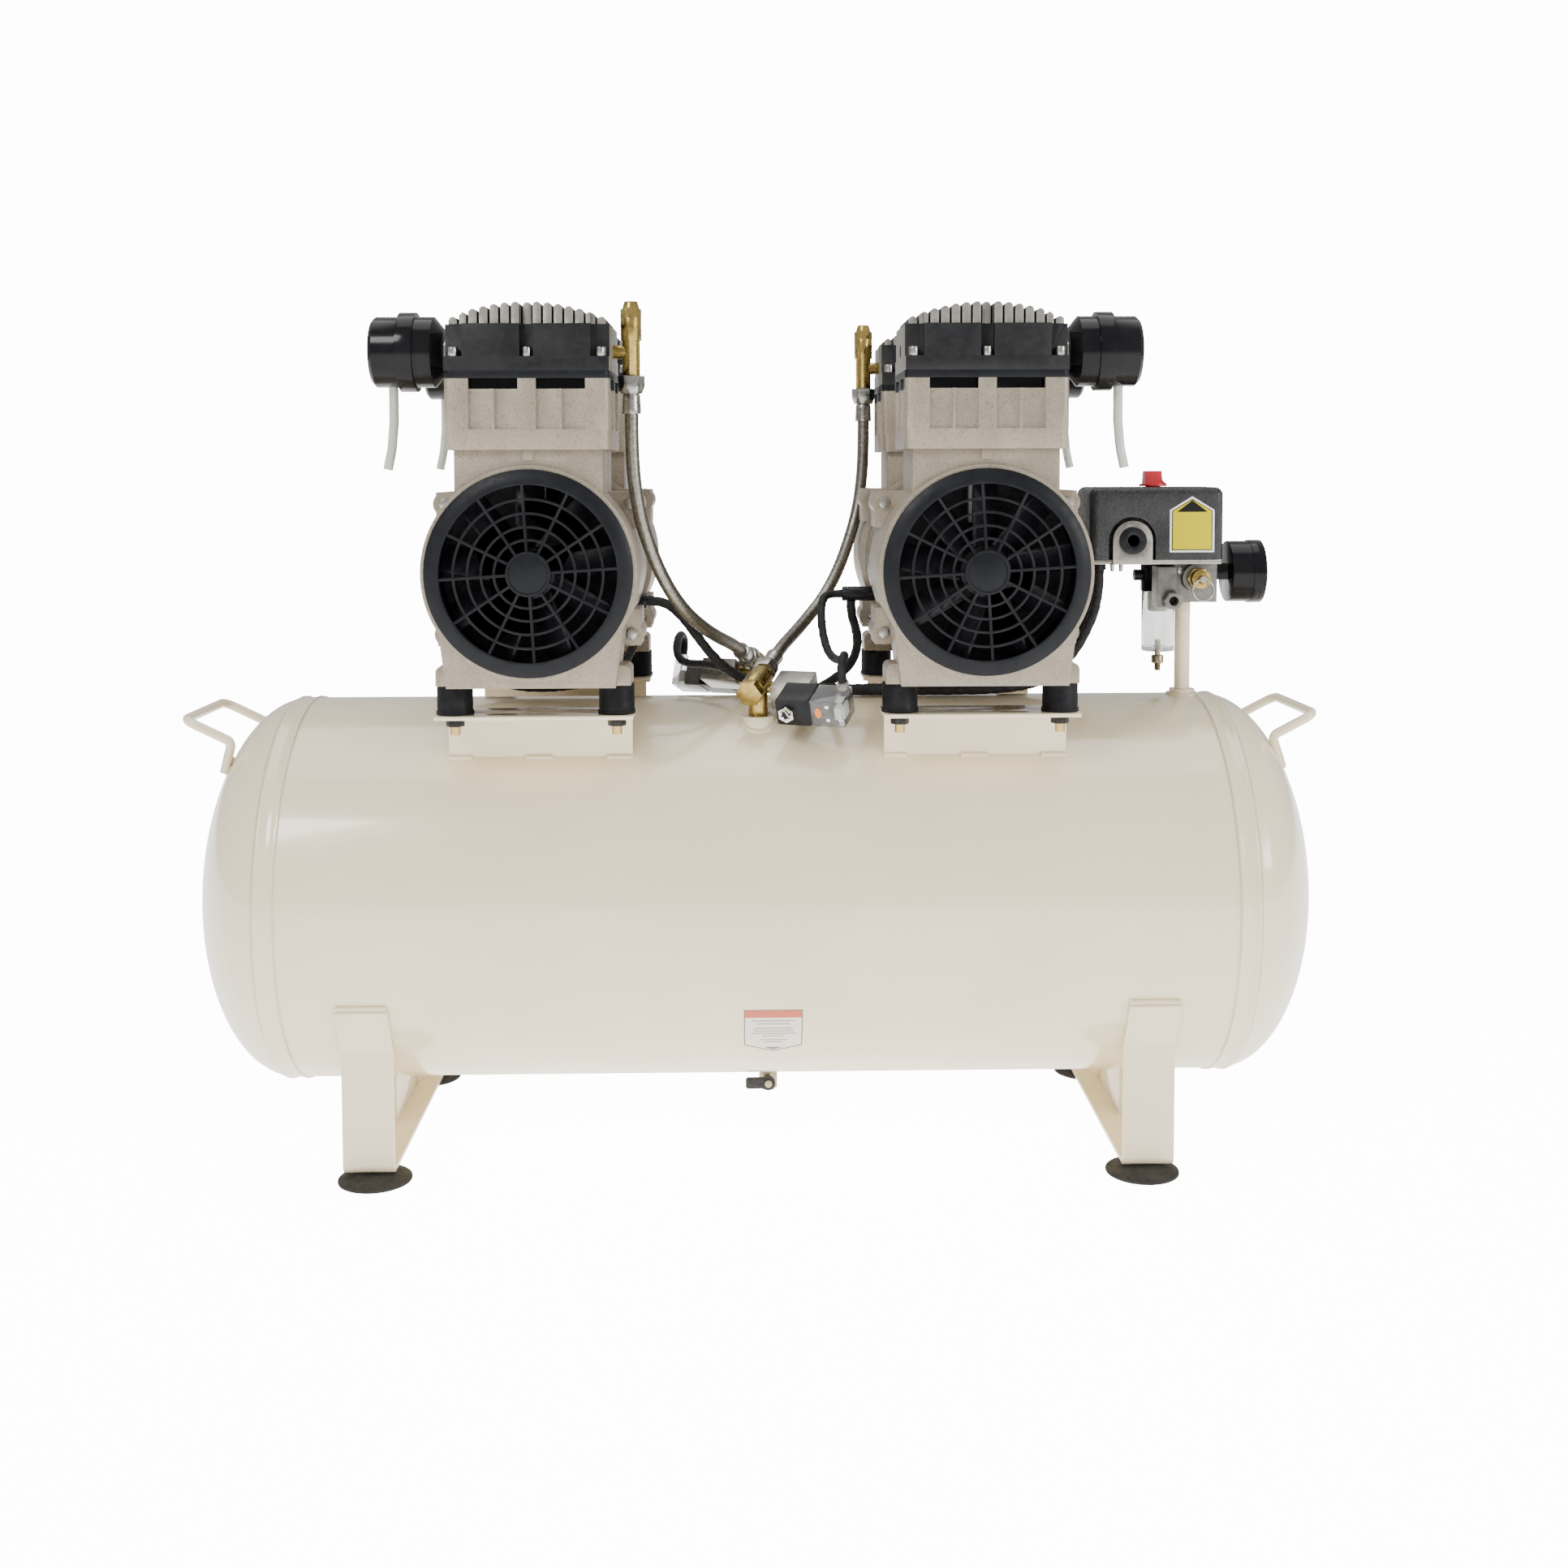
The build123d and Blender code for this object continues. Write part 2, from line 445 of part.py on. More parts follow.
def build_valves(tank):
    """Non-return valve with its unloader block, coil and plug; the rear set is the front one half turned."""
    cap = Pos(0, -16, 0) * Rot(90, 0, 0) * hexagon(20, 8)
    barrel = rod_y(-16, 8, 0, 0, BARREL_R) + rod_y(8, 14, 0, 0, 8)
    side = rod_x(0, 12, 4, -8, 5)
    leaning = VALVE_FRAME * union([cap, barrel, side])
    stem = rod_z(tank_surface_z(VALVE_Y) - 4, VALVE_Z, 0, VALVE_Y, 8)
    valve = leaning + stem - tank
    bung = rod_z(tank_surface_z(VALVE_Y) - 12, tank_surface_z(VALVE_Y) + 5, 0, VALVE_Y, 14)
    bung = bung - rod_z(300, 450, 0, VALVE_Y, 8) - tank
    aluminium = block(12, 44, -8, 24, -22, -2)
    coil = fillet(block(28, 58, -38, -8, -19, 4.5).edges().filter_by(Axis.Y), 2.5)
    coil += Pos(38, -38, -7) * Rot(90, 0, 0) * hexagon(11, 5)
    plug = block(58, 86, -38, -10, -19, 4.5)
    plug += rod_z(4.5, PLUG_TOP, *PLUG_GLAND, 5)
    node("check_valves", front_and_back(max(valve.solids(), key=lambda s: s.volume)))
    bungs = front_and_back(max(bung.solids(), key=lambda s: s.volume))
    riser_bung = rod_z(TANK_Z + TANK_R - 4, TANK_Z + TANK_R + 5, RISER_X, 0, 11)
    riser_bung = riser_bung - rod_z(300, 450, RISER_X, 0, RISER_R) - tank
    drain_bung = rod_z(TANK_Z - TANK_R - 4, TANK_Z - TANK_R + 4, DRAIN_X, 0, 11) - tank
    node("tank_bungs", bungs + [riser_bung, drain_bung])
    node("unloader_blocks", front_and_back(VALVE_FRAME * aluminium))
    node("solenoid_coils", front_and_back(VALVE_FRAME * coil))
    node("solenoid_plugs", front_and_back(VALVE_FRAME * plug))
    nut, ferrule = hose_end(18.5)
    at_valve = VALVE_FRAME * Pos(0, 14, 0) * Rot(-90, 0, 0)
    at_tee = Pos(TEE_X - PUMP_X, -CYL_Y, 652) * Rot(180, 0, 0)
    node("hose_fittings", [piece for at in (at_valve, at_tee) for end in (nut, ferrule)
                           for piece in front_and_back(at * end)])


# ---------------------------------------------------------------- right end
def lead_boots():
    """Black sleeves where the leads leave the motors: one inward on each, one outward on the left."""
    core = [rod_y(-BELL_BACK, BELL_BACK, x, AXIS_Z, STATOR_R) for x in (-PUMP_X, PUMP_X)]
    boots = [rod_x(-108, -94, -LEAD_Y, LEAD_Z, BOOT_R), rod_x(76, 108, LEAD_Y, LEAD_Z, BOOT_R),
             rod_x(START_LEAD_X - 5, START_LEAD_X + 9, START_LEAD_Y, LEAD_Z, BOOT_R)]
    return [boot - core[0] - core[1] for boot in boots]


def build_switch_group():
    base_z = COVER_Z0 - 4
    manifold = block(362, 399, -16, 16, RISER_TOP, base_z) + block(346, 362, -24, 0, OUTLET_Z - 6, base_z - 3)
    manifold += rod_y(-26, -16, SAFETY_X, SAFETY_Z, 12)
    manifold += block(352, 366, 10, 20, 474, 488)
    manifold -= rod_z(RISER_TOP - 1, RISER_TOP + 12, RISER_X, 0, RISER_R)
    manifold -= rod_y(-40, -16, OUTLET_X, OUTLET_Z, 6)
    manifold -= rod_y(-30, -16, SAFETY_X, SAFETY_Z, 6)
    manifold -= rod_x(390, 400, 0, GAUGE_Z, 6)
    node("manifold", manifold)
    riser = rod_z(TANK_Z + TANK_R, RISER_TOP + 12, RISER_X, 0, RISER_R)
    riser -= rod_z(300, RISER_TOP + 13, RISER_X, 0, RISER_R - 2.2)
    node("riser_pipe", riser)

    plate = block(COVER_X0 + 2, COVER_X1 - 2, -COVER_HALF_Y + 2, COVER_HALF_Y - 2, base_z, COVER_Z0)
    tab = block(GLAND_X - 17, GLAND_X + 17, -COVER_HALF_Y - 2, -COVER_HALF_Y + 0.5, base_z, GLAND_Z)
    tab += rod_y(-COVER_HALF_Y - 2, -COVER_HALF_Y + 0.5, GLAND_X, GLAND_Z, 17)
    tab += block(GLAND_X - 17, GLAND_X + 17, -COVER_HALF_Y - 2, -COVER_HALF_Y + 4, base_z, COVER_Z0)
    bracket = plate + tab - rod_y(-COVER_HALF_Y - 10, -COVER_HALF_Y + 10, GLAND_X, GLAND_Z, 9.5)
    for y in (-8, 8):
        bracket -= rod_z(base_z - 1, COVER_Z0 + 1, GROMMET_X, y, LEAD_D / 2 + 1.4)
    node("switch_bracket", bracket)

    outer = block(COVER_X0, COVER_X1, -COVER_HALF_Y, COVER_HALF_Y, COVER_Z0, COVER_Z1)
    outer = fillet(outer.edges().filter_by(Axis.Z) + outer.faces().sort_by(Axis.Z)[-1].edges(), 7)
    cover = outer - block(COVER_X0 + 3, COVER_X1 - 3, -COVER_HALF_Y + 9, COVER_HALF_Y - 3, COVER_Z0 - 1,
                          COVER_Z1 - 3)
    cover -= rod_y(-COVER_HALF_Y - 1, -COVER_HALF_Y + 8, GLAND_X, GLAND_Z, 20)
    cover -= block(GLAND_X - 20, GLAND_X + 20, -COVER_HALF_Y - 1, -COVER_HALF_Y + 8, COVER_Z0 - 1, GLAND_Z)
    cover -= rod_y(-COVER_HALF_Y + 7, -COVER_HALF_Y + 20, GLAND_X, GLAND_Z, 11)
    cover -= rod_z(COVER_Z1 - 6, COVER_Z1 + 1, KNOB_X, 0, 7.5)
    node("switch_cover", max(cover.solids(), key=lambda s: s.volume))
    gland = rod_y(-COVER_HALF_Y - 5, -COVER_HALF_Y + 4, GLAND_X, GLAND_Z, 9.5)
    gland += rod_y(-COVER_HALF_Y - 5, -COVER_HALF_Y - 2, GLAND_X, GLAND_Z, 11.5)
    gland -= rod_y(-COVER_HALF_Y - 10, -COVER_HALF_Y + 10, GLAND_X, GLAND_Z, 5)
    grommets = [rod_z(GROMMET_Z, COVER_Z0 + 2, GROMMET_X, y, LEAD_D / 2 + 1.3) for y in (-8, 8)]
    node("cable_glands", [gland] + grommets + lead_boots())

    skirt = Pos(KNOB_X, 0, COVER_Z1 + 0.6) * Cylinder(12, 2, align=(Align.CENTER, Align.CENTER, Align.MIN))
    grip = extrude(Plane.XZ.offset(7) * make_face(Polyline(
        (KNOB_X - 8.5, COVER_Z1 + 2), (KNOB_X + 11, COVER_Z1 + 2), (KNOB_X + 7, COVER_Z1 + 6),
        (KNOB_X + 6, COVER_Z1 + 14), (KNOB_X - 7.5, COVER_Z1 + 14), close=True)), -14)
    stem = rod_z(COVER_Z1 - 10, COVER_Z1 + 2, KNOB_X, 0, 6.5)
    node("switch_knob", union([skirt, grip, stem]))

    safety = Pos(SAFETY_X, -26, SAFETY_Z) * Rot(90, 0, 0) * hexagon(17, 8)
    safety += rod_y(-44, -20, SAFETY_X, SAFETY_Z, 6) + rod_y(-42, -34, SAFETY_X, SAFETY_Z, 8)
    safety -= rod_y(-45, -28, SAFETY_X, SAFETY_Z, 2.6)
    node("safety_valve", safety)
    pull = rod_y(-50, -30, SAFETY_X, SAFETY_Z, 2.2) + rod_y(-50, -45.5, SAFETY_X, SAFETY_Z, 3)
    ring = Pos(SAFETY_X, -47.5, SAFETY_Z - 8.8) * Rot(90, 0, 0) * Torus(9, 0.8)
    node("safety_pull", pull + ring)
    outlet = Pos(OUTLET_X, -24, OUTLET_Z) * Rot(90, 0, 0) * hexagon(14, 12)
    outlet += rod_y(-36, -17, OUTLET_X, OUTLET_Z, 6)
    node("air_outlet", outlet - rod_y(-37, -16, OUTLET_X, OUTLET_Z, 4))

    fx, fy = FILTER_BOWL
    head = rod_z(468, 494, fx, fy, 15.5) + rod_x(fx - 22, fx - 10, fy, 482, 5)
    head -= rod_z(460, 474, fx, fy, 11)
    head -= block(351.5, 366.5, 9, 20.1, 473, 489)
    node("filter_head", head)
    bowl = rod_z(414, 468, fx, fy, 14.5) - rod_z(418, 469, fx, fy, 12)
    bowl -= rod_z(410, 420, fx, fy, 3.2)
    node("filter_bowl", bowl)
    node("bowl_drain", rod_z(396, 410, fx, fy, 5.5) + rod_z(409, 424, fx, fy, 2.8))

    case = rod_x(GAUGE_X0, GAUGE_X1 - 8, 0, GAUGE_Z, GAUGE_R) + rod_x(GAUGE_X1 - 11, GAUGE_X1, 0, GAUGE_Z,
                                                                     GAUGE_R + 1)
    case -= rod_x(GAUGE_X1 - 7, GAUGE_X1 + 1, 0, GAUGE_Z, GAUGE_R - 2)
    case += block(399.2, GAUGE_X0, -7, 7, GAUGE_Z - 7, GAUGE_Z + 7) + rod_x(391, 400, 0, GAUGE_Z, 5.9)
    case += rod_x(GAUGE_X1 - 8, GAUGE_X1 - 5.5, 0, GAUGE_Z, 1)
    node("gauge_case", case)
    node("gauge_lens", rod_x(GAUGE_X1 - 3, GAUGE_X1 - 1.2, 0, GAUGE_Z, GAUGE_R - 2.2))
    hand = block(GAUGE_X1 - 5.8, GAUGE_X1 - 5, -1, 1, GAUGE_Z - 5, GAUGE_Z + 17)
    hand += rod_x(GAUGE_X1 - 5.8, GAUGE_X1 - 4.4, 0, GAUGE_Z, 3)
    hand -= rod_x(GAUGE_X1 - 9, GAUGE_X1 - 5, 0, GAUGE_Z, 1.05)
    node("gauge_pointer", Pos(0, 0, GAUGE_Z) * Rot(135, 0, 0) * Pos(0, 0, -GAUGE_Z) * hand)


def build_drain(tank):
    """Ball valve under the tank, with a short flat lever on its front."""
    front, back = LEVER_Y
    body = rod_z(DRAIN_Z, TANK_Z - TANK_R - 4, DRAIN_X, 0, 7) + rod_z(DRAIN_Z - 8, DRAIN_Z + 8, DRAIN_X, 0, DRAIN_R)
    body += rod_z(DRAIN_Z - 10, DRAIN_Z, DRAIN_X, 0, 5.5) + rod_y(back + 0.3, -5, DRAIN_X, DRAIN_Z, 4)
    body -= rod_z(20, DRAIN_Z - 6, DRAIN_X, 0, 3)
    body -= rod_y(-13, -9, DRAIN_X, DRAIN_Z, 2)
    lever = block(DRAIN_X - LEVER_LENGTH, DRAIN_X, front, back, DRAIN_Z - LEVER_HALF, DRAIN_Z + LEVER_HALF)
    lever = chamfer(lever.edges().filter_by(Axis.Y).group_by(Axis.X)[0], 1.6)
    lever += rod_y(front, back, DRAIN_X, DRAIN_Z, LEVER_HUB_R)
    lever -= rod_y(-20, -5, DRAIN_X, DRAIN_Z, 2.06)
    node("drain_lever", lever)
    screw = rod_y(front - 2, front - 0.3, DRAIN_X, DRAIN_Z, 3.2) + rod_y(front - 0.3, -9, DRAIN_X, DRAIN_Z, 2)
    node("drain_valve", [body, screw])


# ---------------------------------------------------------------- hoses and leads
def cord(name, diameter, route, limit):
    """Plain tube along straight runs joined by tangent arcs as large as the runs allow."""
    points = [Vector(*p) for p in route]
    radii = []
    for a, b, c in zip(points, points[1:], points[2:]):
        turn = radians((b - a).get_angle(c - b))
        radii.append(0.45 * min((b - a).length, (c - b).length) / tan(turn / 2))
    wire = FilletPolyline(*route, radius=radii)
    tube = sweep(Plane(wire @ 0, z_dir=wire % 0) * Circle(diameter / 2), path=wire)
    want = pi * diameter**2 / 4 * wire.length
    print(f"{name}: length {wire.length:.0f}, tightest radius {min(radii):.0f} (wish {limit * diameter:.0f}),"
          f" volume ratio {tube.volume / want:.3f}")
    node(name, tube)


def at_plug(height):
    """Point above the front plug's gland, in millimetres."""
    return tuple((VALVE_FRAME * Pos(*PLUG_GLAND, height)).position)


def turned(route):
    """The same route on the other side of the machine's upright axis."""
    return [(-x, -y, z) for x, y, z in route]


def build_cords():
    tee = TEE_X - PUMP_X
    hose = [(tee, -122, 622), (tee, -122, 598), (-99, -121, 568), (-94.5, -118, 538), (-86, -110, 510),
            (-75, -95, 483), (-61, -76, 460), (-46, -52, 444), (-33, -22, 432.5)]
    hose += turned([tuple((VALVE_FRAME * Pos(0, along, 0)).position) for along in (62, FERRULE_END - 2)])
    cord("left_air_hose", HOSE_D, hose, 5)
    cord("right_air_hose", HOSE_D, turned(hose), 5)
    boot_z = LEAD_Z - BOOT_R
    cord("left_motor_lead", LEAD_D, [
        (-94, -LEAD_Y, LEAD_Z), (-81, -LEAD_Y, LEAD_Z), (-68, -37, 457), (-55, -34, 440), (-41, -30, 420),
        (-26, -25, 405), (-8, -17, 394), (18, -10, 386), (55, -9, 384), (105, -8, 384.6), (160, -9, 384),
        (212, -8, 384.8), (246, -7, 390), (270, -8, 408), (287, -8, 434), (GROMMET_X, -8, 464),
        (GROMMET_X, -8, GROMMET_Z)], 3)
    cord("right_motor_lead", LEAD_D, [
        (84, LEAD_Y, boot_z), (84, LEAD_Y, 448), (89, 43, 434), (91, 49, 418), (86, 55, 402), (73, 61, 388),
        (50, 63, 374.8), (27.5, 54, 374.5), (18, 33, 380.5), (27.5, 13, 384), (49, 5, 386), (80, 5, 384.4),
        (120, 6, 385), (170, 5, 384.4), (214, 7, 385), (247, 7, 391), (271, 7, 409), (288, 8, 436),
        (GROMMET_X, 8, 465), (GROMMET_X, 8, GROMMET_Z)], 3)
    cord("front_valve_lead", LEAD_D - 1, [
        at_plug(PLUG_TOP), at_plug(PLUG_TOP + 10), (68.5, -107.5, 422), (70.5, -97.5, 425.5), (71.5, -84, 422),
        (70, -66, 417.5), (66, -44, 415.5), (61, -22, 419), (57.5, -4, 431), (56, 9, 446), (57, 20, 458),
        (59.5, 31, 464), (66, LEAD_Y, LEAD_Z), (76, LEAD_Y, LEAD_Z)], 3)
    cord("rear_valve_lead", LEAD_D - 1, turned([at_plug(PLUG_TOP), at_plug(PLUG_TOP + 10)]) + [
        (-68.5, 107.5, 422), (-71, 97, 425), (-73.5, 85, 420), (-74, 75, 410), (-69, 63, 403.5),
        (-60, 48, 402.5), (-49, 33, 404), (-38, 17, 404.5), (-30, 1, 403.5), (-25, -14, 403)], 3)
    cord("left_start_lead", LEAD_D - 1, [
        (-100, -LEAD_Y, boot_z), (-100, -LEAD_Y, 447), (-104, -34, 434), (-109, -27, 420), (-118, -19, 407),
        (-133, -12, 397), (-153, -7, 391), (-178, -2, 387.5), (-203, 3, 387), (-226, 8, 391), (-244, 13, 401),
        (-255, 17, 415), (-259, 20, 431), (START_LEAD_X, 20, 447), (START_LEAD_X, START_LEAD_Y, boot_z)], 3)


def main():
    tank = tank_body_solid()
    build_tank()
    build_handles(tank)
    build_legs(tank)
    build_brackets(tank)
    build_mounts()
    build_pumps()
    build_valves(tank)
    build_switch_group()
    build_drain(tank)
    build_cords()
    print(len(NODES), "nodes")


main()
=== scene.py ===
"""Looks of a horizontal-tank air compressor with two twin-cylinder oil-free pumps.

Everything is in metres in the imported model's frame: +X along the tank, -Y the front, +Z up, floor at z = 0.
"""
import json
import logging
import math
from collections.abc import Iterable, Sequence
from dataclasses import dataclass, field
from enum import Enum

import bpy
from mathutils import Matrix, Vector

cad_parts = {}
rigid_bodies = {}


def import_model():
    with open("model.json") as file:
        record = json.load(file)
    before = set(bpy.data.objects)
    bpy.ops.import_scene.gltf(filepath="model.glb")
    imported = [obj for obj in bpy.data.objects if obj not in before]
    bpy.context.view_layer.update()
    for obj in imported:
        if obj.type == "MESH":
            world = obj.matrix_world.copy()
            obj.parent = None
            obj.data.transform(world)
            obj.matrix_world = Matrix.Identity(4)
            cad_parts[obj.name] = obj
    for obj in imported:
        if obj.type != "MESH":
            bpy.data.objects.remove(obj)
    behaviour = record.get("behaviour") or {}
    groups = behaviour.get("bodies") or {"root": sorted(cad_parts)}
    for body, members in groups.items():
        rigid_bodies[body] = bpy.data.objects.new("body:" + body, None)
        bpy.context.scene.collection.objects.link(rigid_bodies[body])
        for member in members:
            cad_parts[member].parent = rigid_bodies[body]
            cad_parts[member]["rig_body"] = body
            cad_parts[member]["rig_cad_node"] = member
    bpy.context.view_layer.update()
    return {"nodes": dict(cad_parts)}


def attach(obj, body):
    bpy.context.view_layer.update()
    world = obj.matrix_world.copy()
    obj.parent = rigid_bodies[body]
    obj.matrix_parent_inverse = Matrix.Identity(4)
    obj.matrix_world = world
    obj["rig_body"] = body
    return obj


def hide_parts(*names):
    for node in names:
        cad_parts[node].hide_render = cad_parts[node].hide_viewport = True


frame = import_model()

MM = 0.001
LOG = logging.getLogger("air_compressor")

PUMP_X = 0.178
CYLINDER_Y = 0.122
FAN_AXIS_Z = 0.497
BELL_FACE_Y = 0.172
HEAD_SIDE_Z = 0.69
PORT_Z = 0.671
STUD_END_Z = 0.3731
FILTER_X, FILTER_Y = 0.359, 0.033

Colour = tuple[float, float, float]
Point = tuple[float, float, float]


class Body(Enum):
    """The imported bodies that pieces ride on."""

    MACHINE = "machine"
    KNOB = "knob"
    RELIEF = "relief_pull"
    DRAIN = "drain_handle"
    HAND = "gauge_hand"
    BOWL_DRAIN = "filter_drain"
    LEFT_ROTOR = "left_rotor_group"
    RIGHT_ROTOR = "right_rotor_group"


class Way(Enum):
    """Directions along the frame's axes."""

    X = (1.0, 0.0, 0.0)
    Y = (0.0, 1.0, 0.0)
    Z = (0.0, 0.0, 1.0)
    FRONT = (0.0, -1.0, 0.0)

    @property
    def along(self) -> Vector:
        """Unit vector of this direction."""
        return Vector(self.value)

    @property
    def side(self) -> Vector:
        """A unit vector square to it."""
        return Vector((0, 0, 1)) if abs(self.value[2]) < 0.5 else Vector((1, 0, 0))


# ---------------------------------------------------------------- shader graph
class Value:
    """A shader socket that takes part in arithmetic."""

    def __init__(self, graph: "Graph", socket: bpy.types.NodeSocket) -> None:
        """Wraps one output socket of a graph."""
        self.graph = graph
        self.socket = socket

    def _math(self, operation: str, first: object, second: object) -> "Value":
        """Adds one Math node."""
        return self.graph.node("ShaderNodeMath", {"operation": operation}, {0: first, 1: second})

    def __add__(self, other: object) -> "Value":
        """Sum."""
        return self._math("ADD", self, other)

    def __sub__(self, other: object) -> "Value":
        """Difference."""
        return self._math("SUBTRACT", self, other)

    def __mul__(self, other: object) -> "Value":
        """Product."""
        return self._math("MULTIPLY", self, other)

    def __abs__(self) -> "Value":
        """Size without sign."""
        return self.graph.node("ShaderNodeMath", {"operation": "ABSOLUTE"}, {0: self})

    def wave(self) -> "Value":
        """Sine."""
        return self.graph.node("ShaderNodeMath", {"operation": "SINE"}, {0: self})

    def most(self, other: object) -> "Value":
        """The larger of two values."""
        return self._math("MAXIMUM", self, other)

    def ramp(self, low: float, high: float, start: float = 0.0, end: float = 1.0) -> "Value":
        """Goes smoothly from start to end as the value goes from low to high.

        Args:
            low: value at which the ramp starts.
            high: value at which it ends.
            start: result at and below low.
            end: result at and above high.

        Returns:
            The ramped value.
        """
        sockets = {"Value": self, "From Min": low, "From Max": high, "To Min": start, "To Max": end}
        return self.graph.node("ShaderNodeMapRange", {"interpolation_type": "SMOOTHSTEP"}, sockets)


class Graph:
    """The node tree of one material."""

    def __init__(self, name: str) -> None:
        """Starts a material with its shader."""
        self.material = bpy.data.materials.new(name)
        self.material.use_nodes = True
        self.tree = self.material.node_tree
        self.shader = self.tree.nodes["Principled BSDF"]
        self.place = self.node("ShaderNodeTexCoord", {}, {}, "Object")
        self.facing = self.node("ShaderNodeTexCoord", {}, {}, "Normal")

    def node(self, kind: str, settings: dict, sockets: dict, output: object = 0) -> Value:
        """Adds a node.

        Args:
            kind: the node's type.
            settings: its properties, set first.
            sockets: values or links of its inputs.
            output: name or number of the output that is returned.

        Returns:
            The output as a value.
        """
        made = self.tree.nodes.new(kind)
        for key, value in settings.items():
            setattr(made, key, value)
        for key, value in sockets.items():
            self.link(value, made.inputs[key])
        return Value(self, made.outputs[output])

    def link(self, value: object, socket: bpy.types.NodeSocket) -> None:
        """Links a value to a socket, or sets the socket to a number, colour or vector."""
        if isinstance(value, Value):
            self.tree.links.new(value.socket, socket)
        else:
            socket.default_value = value

    def set(self, **sockets: object) -> None:
        """Sets the shader's inputs, spaces in their names written as underscores."""
        for key, value in sockets.items():
            self.link(value, self.shader.inputs[key.replace("_", " ")])

    def axes(self, vector: Value) -> tuple[Value, Value, Value]:
        """The three parts of a vector."""
        first = self.node("ShaderNodeSeparateXYZ", {}, {0: vector})
        outputs = first.socket.node.outputs
        return Value(self, outputs[0]), Value(self, outputs[1]), Value(self, outputs[2])

    def noise(self, size: float, detail: float = 2.0, stretch: Point | None = None) -> Value:
        """Noise from 0 to 1 whose lumps are about size metres across.

        Args:
            size: size of a lump in metres.
            detail: octaves of finer noise.
            stretch: scale of the coordinates along each axis.

        Returns:
            The noise value.
        """
        vector = self.place
        if stretch is not None:
            vector = self.node("ShaderNodeMapping", {}, {"Vector": self.place, "Scale": stretch})
        return self.node("ShaderNodeTexNoise", {}, {"Vector": vector, "Scale": 1 / size, "Detail": detail})

    def cells(self, size: float) -> Value:
        """Distance to the nearest of random points about size metres apart, in cell sizes."""
        return self.node("ShaderNodeTexVoronoi", {}, {"Vector": self.place, "Scale": 1 / size})

    def blend(self, share: Value, first: object, second: object) -> Value:
        """Mixes two colours by a value."""
        first = (*first, 1.0) if isinstance(first, tuple) else first
        second = (*second, 1.0) if isinstance(second, tuple) else second
        return self.node("ShaderNodeMix", {"data_type": "RGBA"}, {0: share, 6: first, 7: second}, 2)

    def bump(self, height: Value, depth: float) -> None:
        """Feeds a height from 0 to 1, depth metres deep, to the shader's normal."""
        sockets = {"Height": height, "Distance": depth, "Strength": 1.0}
        self.set(Normal=self.node("ShaderNodeBump", {}, sockets))


# ---------------------------------------------------------------- finishes
@dataclass(frozen=True)
class Finish:
    """A finish whose colour, gloss and grain vary over the surface; sizes are in metres."""

    name: str
    colour: Colour
    shade: Colour
    roughness: float = 0.5
    spread: float = 0.1
    metallic: float = 0.0
    patch: float = 0.03
    grain: float = 0.0012
    relief: float = 0.00003
    coat: float = 0.0
    specular: float = 0.5
    slot: str = ""

    def colours(self, graph: Graph) -> object:
        """Base colour: two close tones in soft patches."""
        return graph.blend(graph.noise(self.patch, 3.0).ramp(0.3, 0.7), self.colour, self.shade)

    def gloss(self, graph: Graph) -> object:
        """Roughness, a little uneven."""
        low, high = self.roughness - self.spread / 2, self.roughness + self.spread / 2
        return graph.noise(self.patch * 0.4, 3.0).ramp(0.3, 0.7, low, high)

    def height(self, graph: Graph) -> Value:
        """Height of the surface grain."""
        return graph.noise(self.grain, 3.0)

    def extra(self, graph: Graph) -> None:
        """Further inputs of the shader; a plain finish has none."""

    def make(self) -> bpy.types.Material:
        """Builds the material once and returns it."""
        title = f"{self.name}_finish"
        if title in bpy.data.materials:
            return bpy.data.materials[title]
        graph = Graph(title)
        graph.set(Base_Color=self.colours(graph), Roughness=self.gloss(graph), Metallic=self.metallic)
        graph.set(Coat_Weight=self.coat, Coat_Roughness=0.08, Specular_IOR_Level=self.specular)
        graph.bump(self.height(graph), self.relief)
        self.extra(graph)
        return graph.material


